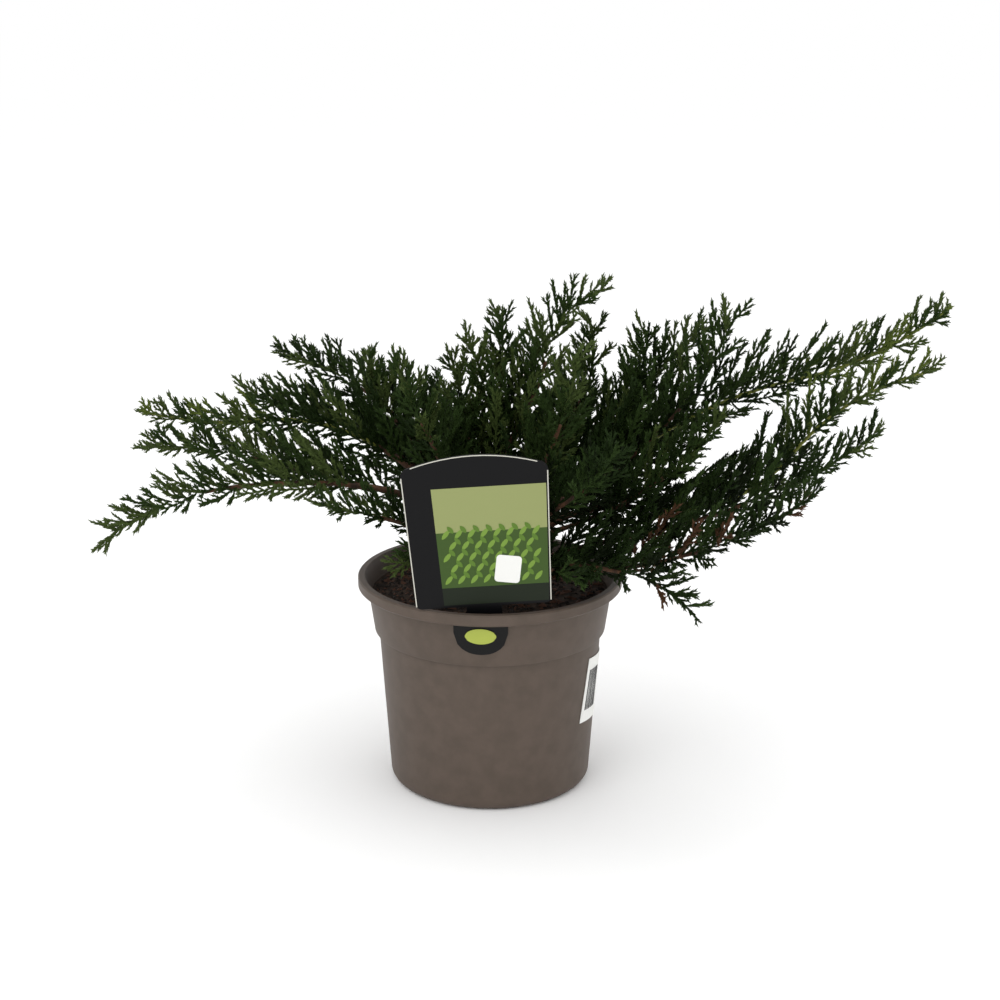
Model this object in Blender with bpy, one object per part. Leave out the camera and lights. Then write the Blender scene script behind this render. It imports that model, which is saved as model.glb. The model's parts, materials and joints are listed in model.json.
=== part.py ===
"""A spreading juniper in a round nursery pot.

The pot is a turned wall with a stepped collar and a flat rim, filled with compost. A short stem
stands in the compost and carries long low boughs. Each bough ends where its foliage starts, and
that foliage is one fused body: a twig that runs on from the bough, with toothed sprays along it.

Sizes are in millimetres and angles in degrees. Meshes are written in metres, +Z is up, and the
origin is the centre of the pot's flat underside.
"""

import bpy
import bmesh
import math
import random
import numpy as np
from collections import namedtuple
from mathutils import Vector
from mathutils.bvhtree import BVHTree

MM = 0.001
UP = Vector((0, 0, 1))

# Clearance between pieces that touch on the real plant
FIT = 0.3

# Pot
POT_SEGMENTS = 40
POT_HEIGHT = 154.3
RIM_R = 95.0
RIM_MOUTH_R = 89.6
RIM_BAND = 8.2
COLLAR_TOP_R = 88.0
COLLAR_FOOT_R = 83.4
COLLAR_FOOT_Z = 113.7
BODY_TOP_R = 80.3
BASE_R = 72.5
BASE_EDGE = 7.0
WALL = 1.6
FLOOR = 2.4
FOOT_DISC_R = 40.0
GROOVE_OUTER_R = 60.0
GROOVE_DEPTH = 2.5
DRAIN_HOLES = 6
DRAIN_HOLE_R = 4.5
DRAIN_RING_R = 50.0

# Compost and stem
COMPOST_Z = 141.0
COMPOST_CROWN = 1.5
STEM_FOOT_R = 12.5
STEM_R = 10.0
STEM_TOP_R = 7.5
STEM_TOP_Z = 193.0
STEM_SIDES = 12

# Plant label: a tapered card with an arched top, and a stake that goes down into the compost
LABEL_TOP_WIDTH = 97.5
LABEL_FOOT_WIDTH = 91.5
LABEL_SIDE_HEIGHT = 104.0
LABEL_ARCH = 7.0
LABEL_CORNER = 7.0
LABEL_THICK = 0.9
LABEL_LEAN = 8.0
LABEL_TURN = 3.8
LABEL_X = -4.0
LABEL_Y = -84.6
LABEL_FOOT_Z = 158.2
STAKE_WIDTH = 24.0
STAKE_LENGTH = 37.0

# Tab, badge and sticker, wrapped on the pot's wall. A bearing is counted from +X towards +Y.
TAB_BEARING = -94.2
TAB_TOP_Z = 145.0
TAB_WIDTH = 37.0
TAB_HEIGHT = 22.0
TAB_THICK = 0.8
BADGE_WIDTH = 21.0
BADGE_HEIGHT = 11.5
BADGE_THICK = 0.4
STICKER_BEARING = -14.0
STICKER_Z = 75.0
STICKER_WIDTH = 46.0
STICKER_HEIGHT = 48.0
STICKER_TURN = -7.5
STICKER_THICK = 0.4

# Boughs and foliage
BOUGH_FOOT_R = 2.7
BOUGH_TIP_R = 1.9
BOUGH_SIDES = 5
TWIG_TIP_R = 0.9
PATH_STEPS = 60
SPRAY_SPACING = 20.5
SPRAY_ANGLE = 46.0
SPRAY_LIFT = 0.55
SPRAY_WIDTH = 0.2
SPRAY_TAPER = 0.6
SPRAY_THICK = 1.7
LONG_SPRAY = 48.0
SHORTEST_SPRAY = 18.0
CELL_SHARE = 0.62
CELL_MARGIN = 2.5
BLADE_CLEARANCE = 0.5

Limb = namedtuple("Limb", "name bearing sweep fork length pitches bare spray")

# Each limb leaves the stem at the height fork, towards bearing, and turns by sweep along its
# length. Its four pitches are its slopes at the foot, one third, two thirds and the tip. The
# first bare millimetres are the bough, and the rest carries sprays up to the length spray.
# A limb shorter than SHORT_LIMB has no bough of its own: its foliage runs down to the stem.
SHORT_LIMB = 185
LIMBS = (
    Limb("left_under", 213, -16, 149, 151, (58, 38, 15, 24), 40, 54),
    Limb("left_low", 201, -19, 158, 310, (73, 12, -6, -44), 112, 58),
    Limb("left_mid", 181, -2, 166, 264, (62, 12, 16, -6), 78, 66),
    Limb("left_whip", 173, -1, 179, 277, (56, 32, -8, 14), 66, 62),
    Limb("left_fan", 159, 5, 171, 220, (62, 38, 14, 8), 70, 62),
    Limb("left_back", 140, 10, 160, 242, (64, 50, 22, 4), 60, 68),
    Limb("left_plume", 152, 7, 186, 152, (48, 46, 50, 80), 34, 64),
    Limb("left_front_plume", 214, -14, 172, 166, (66, 68, 63, 75), 38, 62),
    Limb("left_fringe", 238, -18, 151, 108, (58, 44, -8, -34), 34, 44),
    Limb("centre_left", 124, 26, 189, 130, (64, 85, 74, 65), 26, 60),
    Limb("centre_back_left", 100, 52, 178, 152, (64, 90, 92, 34), 32, 66),
    Limb("centre_back", 74, 18, 168, 176, (62, 78, 84, 76), 36, 72),
    Limb("leader", 40, -40, 193, 196, (90, 54, 78, 10), 30, 74),
    Limb("centre_front", -32, 0, 184, 155, (57, 60, 71, 81), 30, 66),
    Limb("centre_right", 40, -2, 181, 182, (64, 38, 58, 115), 38, 68),
    Limb("right_plume", 12, 6, 188, 187, (36, 34, 64, 87), 38, 72),
    Limb("right_arch", 28, -14, 167, 232, (46, 25, 72, 18), 52, 80),
    Limb("right_crest", -4, 14, 180, 238, (30, 34, 52, 70), 60, 84),
    Limb("right_whip", 12, -10, 174, 366, (34, 34, 11, 39), 80, 84),
    Limb("right_fan", -20, 16, 171, 196, (26, 24, 40, 60), 54, 76),
    Limb("right_mid", -6, 0, 161, 344, (56, -8, 54, 12), 78, 84),
    Limb("right_low", -19, 5, 154, 289, (28, 16, 26, 41), 60, 80),
    Limb("right_under", -33, 6, 147, 262, (20, 14, 26, 44), 48, 72),
    Limb("right_droop", -48, 10, 159, 186, (28, 8, 2, -42), 42, 62),
    Limb("front_right", -56, 10, 173, 160, (36, 34, 36, 60), 32, 66),
    Limb("front_low", -63, 8, 150, 118, (38, 22, 8, -12), 34, 48),
    Limb("back_low_left", 124, -6, 150, 214, (40, 22, 12, 18), 50, 72),
    Limb("back_left", 100, 6, 158, 208, (50, 26, 18, 26), 48, 72),
    Limb("back_right", 68, -4, 156, 214, (44, 24, 14, 22), 50, 72),
    Limb("back_low_right", 45, -4, 149, 222, (36, 20, 14, 20), 52, 72),
)


# Working helpers

def clear_scene():
    for obj in list(bpy.data.objects):
        bpy.data.objects.remove(obj, do_unlink=True)


def make_material(name, colour, roughness):
    """A plain principled finish. The colour is linear red, green and blue."""
    material = bpy.data.materials.new(name)
    material.use_nodes = True
    shader = material.node_tree.nodes["Principled BSDF"]
    shader.inputs["Base Color"].default_value = (*colour, 1.0)
    shader.inputs["Roughness"].default_value = roughness
    shader.inputs["Metallic"].default_value = 0.0
    material.diffuse_color = (*colour, 1.0)
    return material


def mesh_object(name, points, faces, material, smooth=False):
    """A closed object from points in millimetres, with its faces turned outwards."""
    mesh = bpy.data.meshes.new(name)
    mesh.from_pydata([Vector(p) * MM for p in points], [], faces)
    work = bmesh.new()
    work.from_mesh(mesh)
    bmesh.ops.recalc_face_normals(work, faces=work.faces)
    work.to_mesh(mesh)
    work.free()
    mesh.materials.append(material)
    if smooth:
        mesh.shade_smooth()
        mesh.set_sharp_from_angle(angle=math.radians(35))
    obj = bpy.data.objects.new(name, mesh)
    bpy.context.scene.collection.objects.link(obj)
    return obj


def join_with(target, parts, name, operation="UNION"):
    """Fuse a list of objects into target with one Boolean, then remove them."""
    group = bpy.data.collections.new(name)
    bpy.context.scene.collection.children.link(group)
    for part in parts:
        bpy.context.scene.collection.objects.unlink(part)
        group.objects.link(part)
        part.hide_render = True
        part.display_type = "WIRE"
    cut = target.modifiers.new(name, "BOOLEAN")
    cut.operation = operation
    cut.operand_type = "COLLECTION"
    cut.collection = group
    cut.solver = "EXACT"
    depsgraph = bpy.context.evaluated_depsgraph_get()
    fused = bpy.data.meshes.new_from_object(target.evaluated_get(depsgraph))
    target.modifiers.clear()
    target.data = fused
    for part in parts:
        bpy.data.objects.remove(part, do_unlink=True)
    bpy.data.collections.remove(group)


def interpolate(values, share):
    """A value read from evenly spaced values at a share from 0 to 1."""
    place = min(max(share, 0.0), 1.0) * (len(values) - 1)
    index = min(int(place), len(values) - 2)
    return values[index] + (values[index + 1] - values[index]) * (place - index)


# Pot

def arc(centre, radius, start, end, steps):
    """Profile points (radius, height) on a circular arc."""
    angles = [math.radians(start + (end - start) * i / steps) for i in range(steps + 1)]
    return [(centre[0] + radius * math.cos(a), centre[1] + radius * math.sin(a)) for a in angles]


def wall_radius(z):
    """The outer radius of the pot's wall at a height, on the body or on the collar."""
    if z < COLLAR_FOOT_Z:
        return BASE_R + (BODY_TOP_R - BASE_R) * z / COLLAR_FOOT_Z
    band_foot = POT_HEIGHT - RIM_BAND
    share = (z - COLLAR_FOOT_Z) / (band_foot - COLLAR_FOOT_Z)
    return COLLAR_FOOT_R + (COLLAR_TOP_R - COLLAR_FOOT_R) * share


def inner_profile(gap):
    """The pot's inside from the floor's outer edge up to the rim, set in by gap."""
    band_foot = POT_HEIGHT - RIM_BAND
    inset = WALL + gap
    return [
        (BASE_R - BASE_EDGE, FLOOR + GROOVE_DEPTH + gap),
        (wall_radius(BASE_EDGE + 6) - inset, BASE_EDGE + 6),
        (wall_radius(COLLAR_FOOT_Z - 3) - inset, COLLAR_FOOT_Z - 3),
        (wall_radius(COLLAR_FOOT_Z + 1) - inset, COLLAR_FOOT_Z + 1),
        (wall_radius(band_foot) - inset, band_foot),
    ]


def turn_profile(name, profile, material):
    """Turn a closed (radius, height) outline, which starts and ends on the axis."""
    points = []
    rings = []
    for radius, height in profile:
        if radius < 1e-6:
            rings.append([len(points)])
            points.append((0, 0, height))
            continue
        ring = []
        for i in range(POT_SEGMENTS):
            angle = 2 * math.pi * i / POT_SEGMENTS
            ring.append(len(points))
            points.append((radius * math.cos(angle), radius * math.sin(angle), height))
        rings.append(ring)
    faces = []
    for low, high in zip(rings, rings[1:]):
        for i in range(POT_SEGMENTS):
            j = (i + 1) % POT_SEGMENTS
            if len(low) == 1:
                faces.append((low[0], high[i], high[j]))
            elif len(high) == 1:
                faces.append((low[i], low[j], high[0]))
            else:
                faces.append((low[i], low[j], high[j], high[i]))
    return mesh_object(name, points, faces, material, smooth=True)


def make_pot(material):
    band_foot = POT_HEIGHT - RIM_BAND
    edge_r = wall_radius(BASE_EDGE)
    outside = [(0, 0), (FOOT_DISC_R, 0), (FOOT_DISC_R + 2, GROOVE_DEPTH)]
    outside += [(GROOVE_OUTER_R - 2, GROOVE_DEPTH), (GROOVE_OUTER_R, 0)]
    outside += arc((edge_r - BASE_EDGE, BASE_EDGE), BASE_EDGE, -90, 0, 4)
    outside += [
        (wall_radius(COLLAR_FOOT_Z - 1.2), COLLAR_FOOT_Z - 1.2),
        (COLLAR_FOOT_R - 0.8, COLLAR_FOOT_Z - 0.4),
        (COLLAR_FOOT_R, COLLAR_FOOT_Z + 0.8),
        (COLLAR_TOP_R, band_foot - 0.4),
        (RIM_R - 1.2, band_foot),
        (RIM_R, band_foot + 1.2),
        (RIM_R, POT_HEIGHT - 1.0),
        (RIM_R - 0.9, POT_HEIGHT),
        (RIM_MOUTH_R + 0.6, POT_HEIGHT),
        (RIM_MOUTH_R, POT_HEIGHT - 0.8),
    ]
    inside = list(reversed(inner_profile(0)))
    inside[-1:] = [(BASE_R - BASE_EDGE, FLOOR + GROOVE_DEPTH), (0, FLOOR + GROOVE_DEPTH)]
    pot = turn_profile("pot", outside + inside, material)
    drills = []
    for i in range(DRAIN_HOLES):
        angle = 2 * math.pi * (i + 0.5) / DRAIN_HOLES
        centre = Vector((DRAIN_RING_R * math.cos(angle), DRAIN_RING_R * math.sin(angle), 0))
        ring = [(centre + Vector((DRAIN_HOLE_R * math.cos(a), DRAIN_HOLE_R * math.sin(a), 0)))
                for a in [2 * math.pi * (k + 0.5) / 10 for k in range(10)]]
        drills.append(prism("drain_drill", ring, -UP * 5, UP * 12, material))
    join_with(pot, drills, "drain_holes", "DIFFERENCE")
    return pot


def prism(name, outline, start, travel, material):
    """An outline moved by start, then carried along travel to make a closed solid."""
    count = len(outline)
    points = [Vector(p) + start for p in outline]
    points += [p + travel for p in points]
    faces = [tuple(reversed(range(count))), tuple(range(count, 2 * count))]
    for i in range(count):
        j = (i + 1) % count
        faces.append((i, j, j + count, i + count))
    return mesh_object(name, points, faces, material)


# Compost

def make_compost(material):
    wall = [point for point in inner_profile(FIT) if point[1] < COMPOST_Z]
    top_r = wall_radius(COMPOST_Z) - WALL - FIT
    profile = [(0, FLOOR + GROOVE_DEPTH + FIT)] + wall + [(top_r, COMPOST_Z)]
    crown_z = COMPOST_Z + COMPOST_CROWN
    profile += [(top_r * 0.7, crown_z - 0.6), (STEM_FOOT_R + 6, crown_z), (0, crown_z)]
    compost = turn_profile("compost", profile, material)
    half = STAKE_WIDTH / 2 + FIT
    back = LABEL_THICK / 2 + FIT
    corners = [(-half, -30), (half, -30), (half, back), (-half, back)]
    outline = [label_point(x, -STAKE_LENGTH - FIT, y) for x, y in corners]
    travel = label_point(0, 10, 0) - label_point(0, -STAKE_LENGTH - FIT, 0)
    notch = prism("stake_notch", outline, Vector(), travel, material)
    join_with(compost, [notch], "stake_notch", "DIFFERENCE")
    return compost


# Label

def label_point(across, along, depth):
    """A place on the card: across it, up along it from its foot, and behind its middle."""
    turn = math.radians(LABEL_TURN)
    lean = math.radians(LABEL_LEAN)
    x = across * math.cos(turn) - along * math.sin(turn)
    rise = across * math.sin(turn) + along * math.cos(turn)
    y = LABEL_Y - rise * math.sin(lean) + depth * math.cos(lean)
    z = LABEL_FOOT_Z + rise * math.cos(lean) + depth * math.sin(lean)
    return Vector((LABEL_X + x, y, z))


def label_outline():
    """The card's outline, anticlockwise from the stake's lower left corner."""
    half_stake = STAKE_WIDTH / 2
    half_foot = LABEL_FOOT_WIDTH / 2
    half_top = LABEL_TOP_WIDTH / 2
    corner = LABEL_CORNER
    outline = [(-half_stake * 0.5, -STAKE_LENGTH), (half_stake * 0.5, -STAKE_LENGTH)]
    outline += [(half_stake, -STAKE_LENGTH * 0.8), (half_stake, 0)]
    outline += arc((half_foot - corner / 2, corner / 2), corner / 2, -90, 0, 3)
    right = arc((half_top - corner, LABEL_SIDE_HEIGHT - corner), corner, 0, 80, 4)
    inner = right[-1]
    arch = []
    for i in range(1, 8):
        across = inner[0] * (1 - 2 * i / 8)
        rise = LABEL_ARCH * (1 - (across / inner[0]) ** 2)
        arch.append((across, inner[1] + rise))
    outline += right + arch
    outline += [(-x, y) for x, y in reversed(right)]
    foot = arc((half_foot - corner / 2, corner / 2), corner / 2, -90, 0, 3)
    outline += [(-x, y) for x, y in reversed(foot)]
    outline.append((-half_stake, 0))
    outline.append((-half_stake, -STAKE_LENGTH * 0.8))
    return outline


def make_label(material):
    outline = [label_point(x, y, -LABEL_THICK / 2) for x, y in label_outline()]
    travel = label_point(0, 0, LABEL_THICK / 2) - label_point(0, 0, -LABEL_THICK / 2)
    return prism("label", outline, Vector(), travel, material)


# Pieces wrapped on the wall

def wrapped_plate(name, bearing, height, turn, columns, gap, thick, material):
    """A thin plate bent round the wall. Each column is (across, lowest, highest)."""
    cos_turn = math.cos(math.radians(turn))
    sin_turn = math.sin(math.radians(turn))
    points = []
    for offset in (gap, gap + thick):
        for across, low, high in columns:
            for up in (low, (low + high) / 2, high):
                z = height + across * sin_turn + up * cos_turn
                arc_length = across * cos_turn - up * sin_turn
                radius = wall_radius(z) + offset
                angle = math.radians(bearing) + arc_length / wall_radius(z)
                points.append((radius * math.cos(angle), radius * math.sin(angle), z))
    count = len(columns)
    outer = 3 * count
    faces = []
    for i in range(count - 1):
        for k in range(2):
            a = 3 * i + k
            faces.append((a, a + 1, a + 4, a + 3))
            faces.append((a + outer, a + 3 + outer, a + 4 + outer, a + 1 + outer))
        for a, b in ((3 * i, 3 * i + 3), (3 * i + 5, 3 * i + 2)):
            faces.append((a, b, b + outer, a + outer))
    for a in (0, 3 * count - 3):
        for k in range(2):
            faces.append((a + k, a + k + 1, a + k + 1 + outer, a + k + outer))
    return mesh_object(name, points, faces, material, smooth=True)


def make_tab(material):
    columns = []
    for i in range(15):
        share = -1 + 2 * i / 14
        drop = TAB_HEIGHT * (0.28 + 0.72 * math.sqrt(max(0.0, 1 - abs(share) ** 2.2)))
        columns.append((share * TAB_WIDTH / 2, -drop, 0))
    return wrapped_plate("pot_tab", TAB_BEARING, TAB_TOP_Z, 0, columns, FIT, TAB_THICK, material)


def make_badge(material):
    columns = []
    for i in range(13):
        share = -1 + 2 * i / 12
        half = BADGE_HEIGHT / 2 * max(0.12, math.sqrt(1 - share ** 2))
        columns.append((share * BADGE_WIDTH / 2, -half, half))
    gap = 2 * FIT + TAB_THICK
    height = TAB_TOP_Z - TAB_HEIGHT * 0.36
    return wrapped_plate("tab_badge", TAB_BEARING, height, 0, columns, gap, BADGE_THICK, material)


def make_sticker(material):
    columns = []
    for i in range(11):
        across = STICKER_WIDTH * (i / 10 - 0.5)
        columns.append((across, -STICKER_HEIGHT / 2, STICKER_HEIGHT / 2))
    return wrapped_plate("sticker", STICKER_BEARING, STICKER_Z, STICKER_TURN, columns,
                         FIT, STICKER_THICK, material)


# Stem and boughs

def stem_radius(z):
    share = (z - COMPOST_Z) / (STEM_TOP_Z - COMPOST_Z)
    return interpolate((STEM_R, STEM_R * 0.93, STEM_TOP_R * 1.04, STEM_TOP_R), share)


def make_stem(material):
    foot_z = COMPOST_Z + COMPOST_CROWN + FIT
    rings = [(foot_z, STEM_FOOT_R), (foot_z + 3, STEM_R + 0.8)]
    rings += [(z, stem_radius(z)) for z in (foot_z + 9, foot_z + 22, foot_z + 36)]
    rings.append((STEM_TOP_Z - FIT, STEM_TOP_R))
    points = []
    faces = []
    for z, radius in rings:
        for i in range(STEM_SIDES):
            angle = 2 * math.pi * i / STEM_SIDES
            points.append((radius * math.cos(angle), radius * math.sin(angle), z))
    for r in range(len(rings) - 1):
        for i in range(STEM_SIDES):
            j = (i + 1) % STEM_SIDES
            low = r * STEM_SIDES
            faces.append((low + i, low + j, low + STEM_SIDES + j, low + STEM_SIDES + i))
    faces.append(tuple(range(STEM_SIDES)))
    faces.append(tuple(range(len(points) - STEM_SIDES, len(points))))
    return mesh_object("stem", points, faces, material, smooth=True)


def limb_path(limb):
    """Points along a limb's middle line, from the stem's surface to the tip."""
    first = math.radians(limb.pitches[0])
    on_top = limb.fork >= STEM_TOP_Z
    start_r = 0.0 if on_top else stem_radius(limb.fork) + FIT + BOUGH_FOOT_R * math.sin(first)
    bearing = math.radians(limb.bearing)
    rise = FIT if on_top else 0.0
    point = Vector((start_r * math.cos(bearing), start_r * math.sin(bearing), limb.fork + rise))
    points = [point.copy()]
    step = limb.length / PATH_STEPS
    for i in range(PATH_STEPS):
        share = (i + 0.5) / PATH_STEPS
        pitch = math.radians(interpolate(limb.pitches, share))
        heading = math.radians(limb.bearing + limb.sweep * share)
        ahead = Vector((math.cos(heading), math.sin(heading), 0)) * math.cos(pitch)
        point = point + (ahead + UP * math.sin(pitch)) * step
        points.append(point)
    return points


def along(path, distance, length):
    """The point and the forward direction at a distance from a path's foot."""
    place = min(max(distance / length, 0.0), 1.0) * (len(path) - 1)
    index = min(int(place), len(path) - 2)
    ahead = path[index + 1] - path[index]
    return path[index] + ahead * (place - index), ahead.normalized()


def tube(name, centres, radii, sides, material, smooth=False):
    """A tapering limb with flat ends, its rings square to its middle line."""
    points = []
    across = None
    for i, centre in enumerate(centres):
        ahead = centres[min(i + 1, len(centres) - 1)] - centres[max(i - 1, 0)]
        ahead.normalize()
        if across is None:
            across = ahead.orthogonal()
        across = (across - ahead * across.dot(ahead)).normalized()
        other = ahead.cross(across)
        for k in range(sides):
            angle = 2 * math.pi * k / sides
            points.append(centre + (across * math.cos(angle) + other * math.sin(angle)) * radii[i])
    faces = []
    for i in range(len(centres) - 1):
        for k in range(sides):
            j = (k + 1) % sides
            low = i * sides
            faces.append((low + k, low + j, low + sides + j, low + sides + k))
    faces.append(tuple(range(sides)))
    faces.append(tuple(range(len(points) - sides, len(points))))
    return mesh_object(name, points, faces, material, smooth)


def make_bough(limb, path, material):
    steps = max(4, round(limb.bare / 16))
    centres = []
    radii = []
    for i in range(steps + 1):
        share = i / steps
        centres.append(along(path, limb.bare * share, limb.length)[0])
        radii.append(BOUGH_FOOT_R + (BOUGH_TIP_R - BOUGH_FOOT_R) * share)
    return tube(limb.name + "_bough", centres, radii, BOUGH_SIDES, material, smooth=True)


# Foliage

def spray_heading(limb, index, ahead):
    """The outward direction of a spray: turn about on either side of the twig and above it."""
    chance = random.Random(limb.name + str(index))
    level = ahead.cross(UP)
    if level.length < 0.2:
        level = Vector((math.sin(math.radians(limb.bearing)), -math.cos(math.radians(limb.bearing)), 0))
    level.normalize()
    above = level.cross(ahead).normalized()
    roll = (44, -44, 98, 4, -98, -4)[index % 6] + chance.uniform(-12, 12)
    out = above * math.cos(math.radians(roll)) + level * math.sin(math.radians(roll))
    angle = math.radians(SPRAY_ANGLE + chance.uniform(-7, 7))
    return (ahead * math.cos(angle) + out * math.sin(angle)).normalized()


def spray_line(root, ahead, heading, length, steps):
    """The middle line of a spray, which curves forwards and up as it grows."""
    points = [root.copy()]
    point = root
    for i in range(steps):
        share = (i + 0.5) / steps
        now = heading + (UP * 0.6 + ahead * 0.5) * (SPRAY_LIFT * share)
        point = point + now.normalized() * (length / steps)
        points.append(point)
    return points


def blade_rows(length):
    """Pairs of (share along, half width) for one toothed blade, without its tip."""
    teeth = 3 if length > LONG_SPRAY else 2
    pitch = 0.78 / teeth
    rows = [(0.0, 1.3)]
    for i in range(teeth):
        reach = SPRAY_WIDTH * length * (1 - 0.2 * i)
        rows.append(((i + 0.9) * pitch, reach))
        rows.append(((i + 1.12) * pitch, reach * 0.34))
    return rows


def blade_points(line, side, length):
    """Left and right edge points of a blade laid along a line, and its tip."""
    rows = []
    for share, half in blade_rows(length):
        centre, ahead = along(line, share * length, length)
        across = (side - ahead * side.dot(ahead)).normalized()
        rows.append((centre - across * half, centre + across * half))
    return rows, line[-1]


def blade_mesh(line, side, length, thick):
    """Points and faces of a toothed blade: its outline carried through its thickness."""
    rows, tip = blade_points(line, side, length)
    ahead = (line[-1] - line[0]).normalized()
    normal = ahead.cross(side).normalized() * (thick / 2)
    points = []
    for offset in (-normal, normal):
        for left, right in rows:
            points += [left + offset, right + offset]
        points.append(tip + offset)
    count = 2 * len(rows) + 1
    faces = []
    for i in range(len(rows) - 1):
        a = 2 * i
        faces.append((a, a + 1, a + 3, a + 2))
        faces.append((a + count, a + 2 + count, a + 3 + count, a + 1 + count))
        faces.append((a, a + 2, a + 2 + count, a + count))
        faces.append((a + 1, a + 1 + count, a + 3 + count, a + 3))
    last = count - 3
    faces.append((last, last + 1, count - 1))
    faces.append((last + count, 2 * count - 1, last + 1 + count))
    faces.append((last, count - 1, 2 * count - 1, last + count))
    faces.append((last + 1, last + 1 + count, 2 * count - 1, count - 1))
    faces.append((0, count, count + 1, 1))
    return points, faces


class Space:
    """The room that each limb's foliage has, and what already stands in it."""

    def __init__(self, paths, solids):
        self.names = list(paths)
        self.samples = np.array([[tuple(point) for point in path] for path in paths.values()])
        self.taken = {name: [solid_tree(obj) for obj in solids[name]] for name in paths}

    def open_place(self, name, point):
        """True if a place is in the open and not well inside another limb's room."""
        radius = math.hypot(point.x, point.y)
        if point.z < COMPOST_Z + 4:
            return False
        if point.z < POT_HEIGHT + 3 and radius > RIM_MOUTH_R - 8:
            return False
        if point.z < STEM_TOP_Z + 3 and radius < STEM_FOOT_R + 2:
            return False
        beside_label = abs(point.x - LABEL_X) < LABEL_TOP_WIDTH / 2 + 6
        if beside_label and point.y < LABEL_Y + 8 and point.z < LABEL_FOOT_Z + 120:
            return False
        gaps = np.linalg.norm(self.samples - np.array(tuple(point)), axis=2).min(axis=1)
        own = self.names.index(name)
        return gaps[own] * CELL_SHARE + CELL_MARGIN < np.delete(gaps, own).min()

    def fits(self, name, line, side, length):
        """True if a blade stays in its limb's room and clear of all other limbs."""
        rows, tip = blade_points(line, side, length)
        outline = [point for pair in rows[1:] for point in pair] + [tip]
        if not all(self.open_place(name, point) for point in outline):
            return False
        points, faces = blade_mesh(line, side, length, SPRAY_THICK + 2 * BLADE_CLEARANCE)
        tree = BVHTree.FromPolygons(points, faces)
        others = [other for limb, trees in self.taken.items() if limb != name for other in trees]
        return not any(tree.overlap(other) for other in others)

    def take(self, name, line, side, length):
        points, faces = blade_mesh(line, side, length, SPRAY_THICK)
        self.taken[name].append(BVHTree.FromPolygons(points, faces))


def solid_tree(obj):
    """A search tree of an object's faces, in millimetres."""
    points = [vertex.co / MM for vertex in obj.data.vertices]
    faces = [tuple(face.vertices) for face in obj.data.polygons]
    return BVHTree.FromPolygons(points, faces)


def has_bough(limb):
    return limb.length >= SHORT_LIMB


def tip_length(limb):
    """The length of the blade that ends a limb."""
    return min(0.34 * (limb.length - limb.bare), limb.spray)


def make_twig(limb, path, material):
    """The three-sided twig that a mass of foliage grows on."""
    start = limb.bare + FIT if has_bough(limb) else 0.0
    start_r = BOUGH_TIP_R if has_bough(limb) else BOUGH_FOOT_R
    end = limb.length - 0.55 * tip_length(limb)
    steps = max(4, round((end - start) / 24))
    centres = []
    radii = []
    for i in range(steps + 1):
        share = i / steps
        centres.append(along(path, start + (end - start) * share, limb.length)[0])
        radii.append(start_r + (TWIG_TIP_R - start_r) * share)
    return tube(limb.name + "_foliage", centres, radii, 3, material)


def tip_spray(limb, path):
    """The blade that ends a limb, laid along the limb's own line and seen from the side."""
    length = tip_length(limb)
    places = [limb.length - length * (1 - i / 4) for i in range(5)]
    line = [along(path, place, limb.length)[0] for place in places]
    ahead = (line[-1] - line[0]).normalized()
    level = ahead.cross(UP)
    level = level.normalized() if level.length > 0.2 else ahead.orthogonal().normalized()
    return line, (level * 0.5 + level.cross(ahead)).normalized(), length


def side_sprays(limb, path, space):
    """Blades along a limb, turn about, each as long as its room allows."""
    leafy = limb.length - limb.bare - 0.6 * tip_length(limb)
    count = round(leafy / SPRAY_SPACING)
    for index in range(count):
        share = (index + 0.4) / count
        root, ahead = along(path, limb.bare + 3 + share * (leafy - 3), limb.length)
        heading = spray_heading(limb, index, ahead)
        side = ahead.cross(heading).cross(heading).normalized()
        length = limb.spray * (1 - SPRAY_TAPER * share)
        while length >= SHORTEST_SPRAY:
            line = spray_line(root, ahead, heading, length, 4)
            if space.fits(limb.name, line, side, length):
                yield line, side, length
                break
            length *= 0.88


def make_mass(limb, path, twig, space, material):
    """Fuse a limb's blades onto its twig, which makes one body of foliage."""
    blades = []
    sprays = [tip_spray(limb, path)]
    space.take(limb.name, *sprays[0])
    for spray in side_sprays(limb, path, space):
        space.take(limb.name, *spray)
        sprays.append(spray)
    for line, side, length in sprays:
        points, faces = blade_mesh(line, side, length, SPRAY_THICK)
        blades.append(mesh_object("blade", points, faces, material))
    join_with(twig, blades, limb.name + "_sprays")
    keep_largest_body(twig)


def keep_largest_body(obj):
    """Drop loose scraps and hollow shells that fusing can leave."""
    work = bmesh.new()
    work.from_mesh(obj.data)
    work.faces.ensure_lookup_table()
    unseen = set(work.faces)
    bodies = []
    while unseen:
        front = [unseen.pop()]
        body = list(front)
        while front:
            face = front.pop()
            for edge in face.edges:
                for near in edge.link_faces:
                    if near in unseen:
                        unseen.discard(near)
                        front.append(near)
                        body.append(near)
        bodies.append(body)
    bodies.sort(key=len)
    scraps = [face for body in bodies[:-1] for face in body]
    bmesh.ops.delete(work, geom=scraps, context="FACES")
    bmesh.ops.triangulate(work, faces=work.faces)
    work.to_mesh(obj.data)
    work.free()


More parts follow.
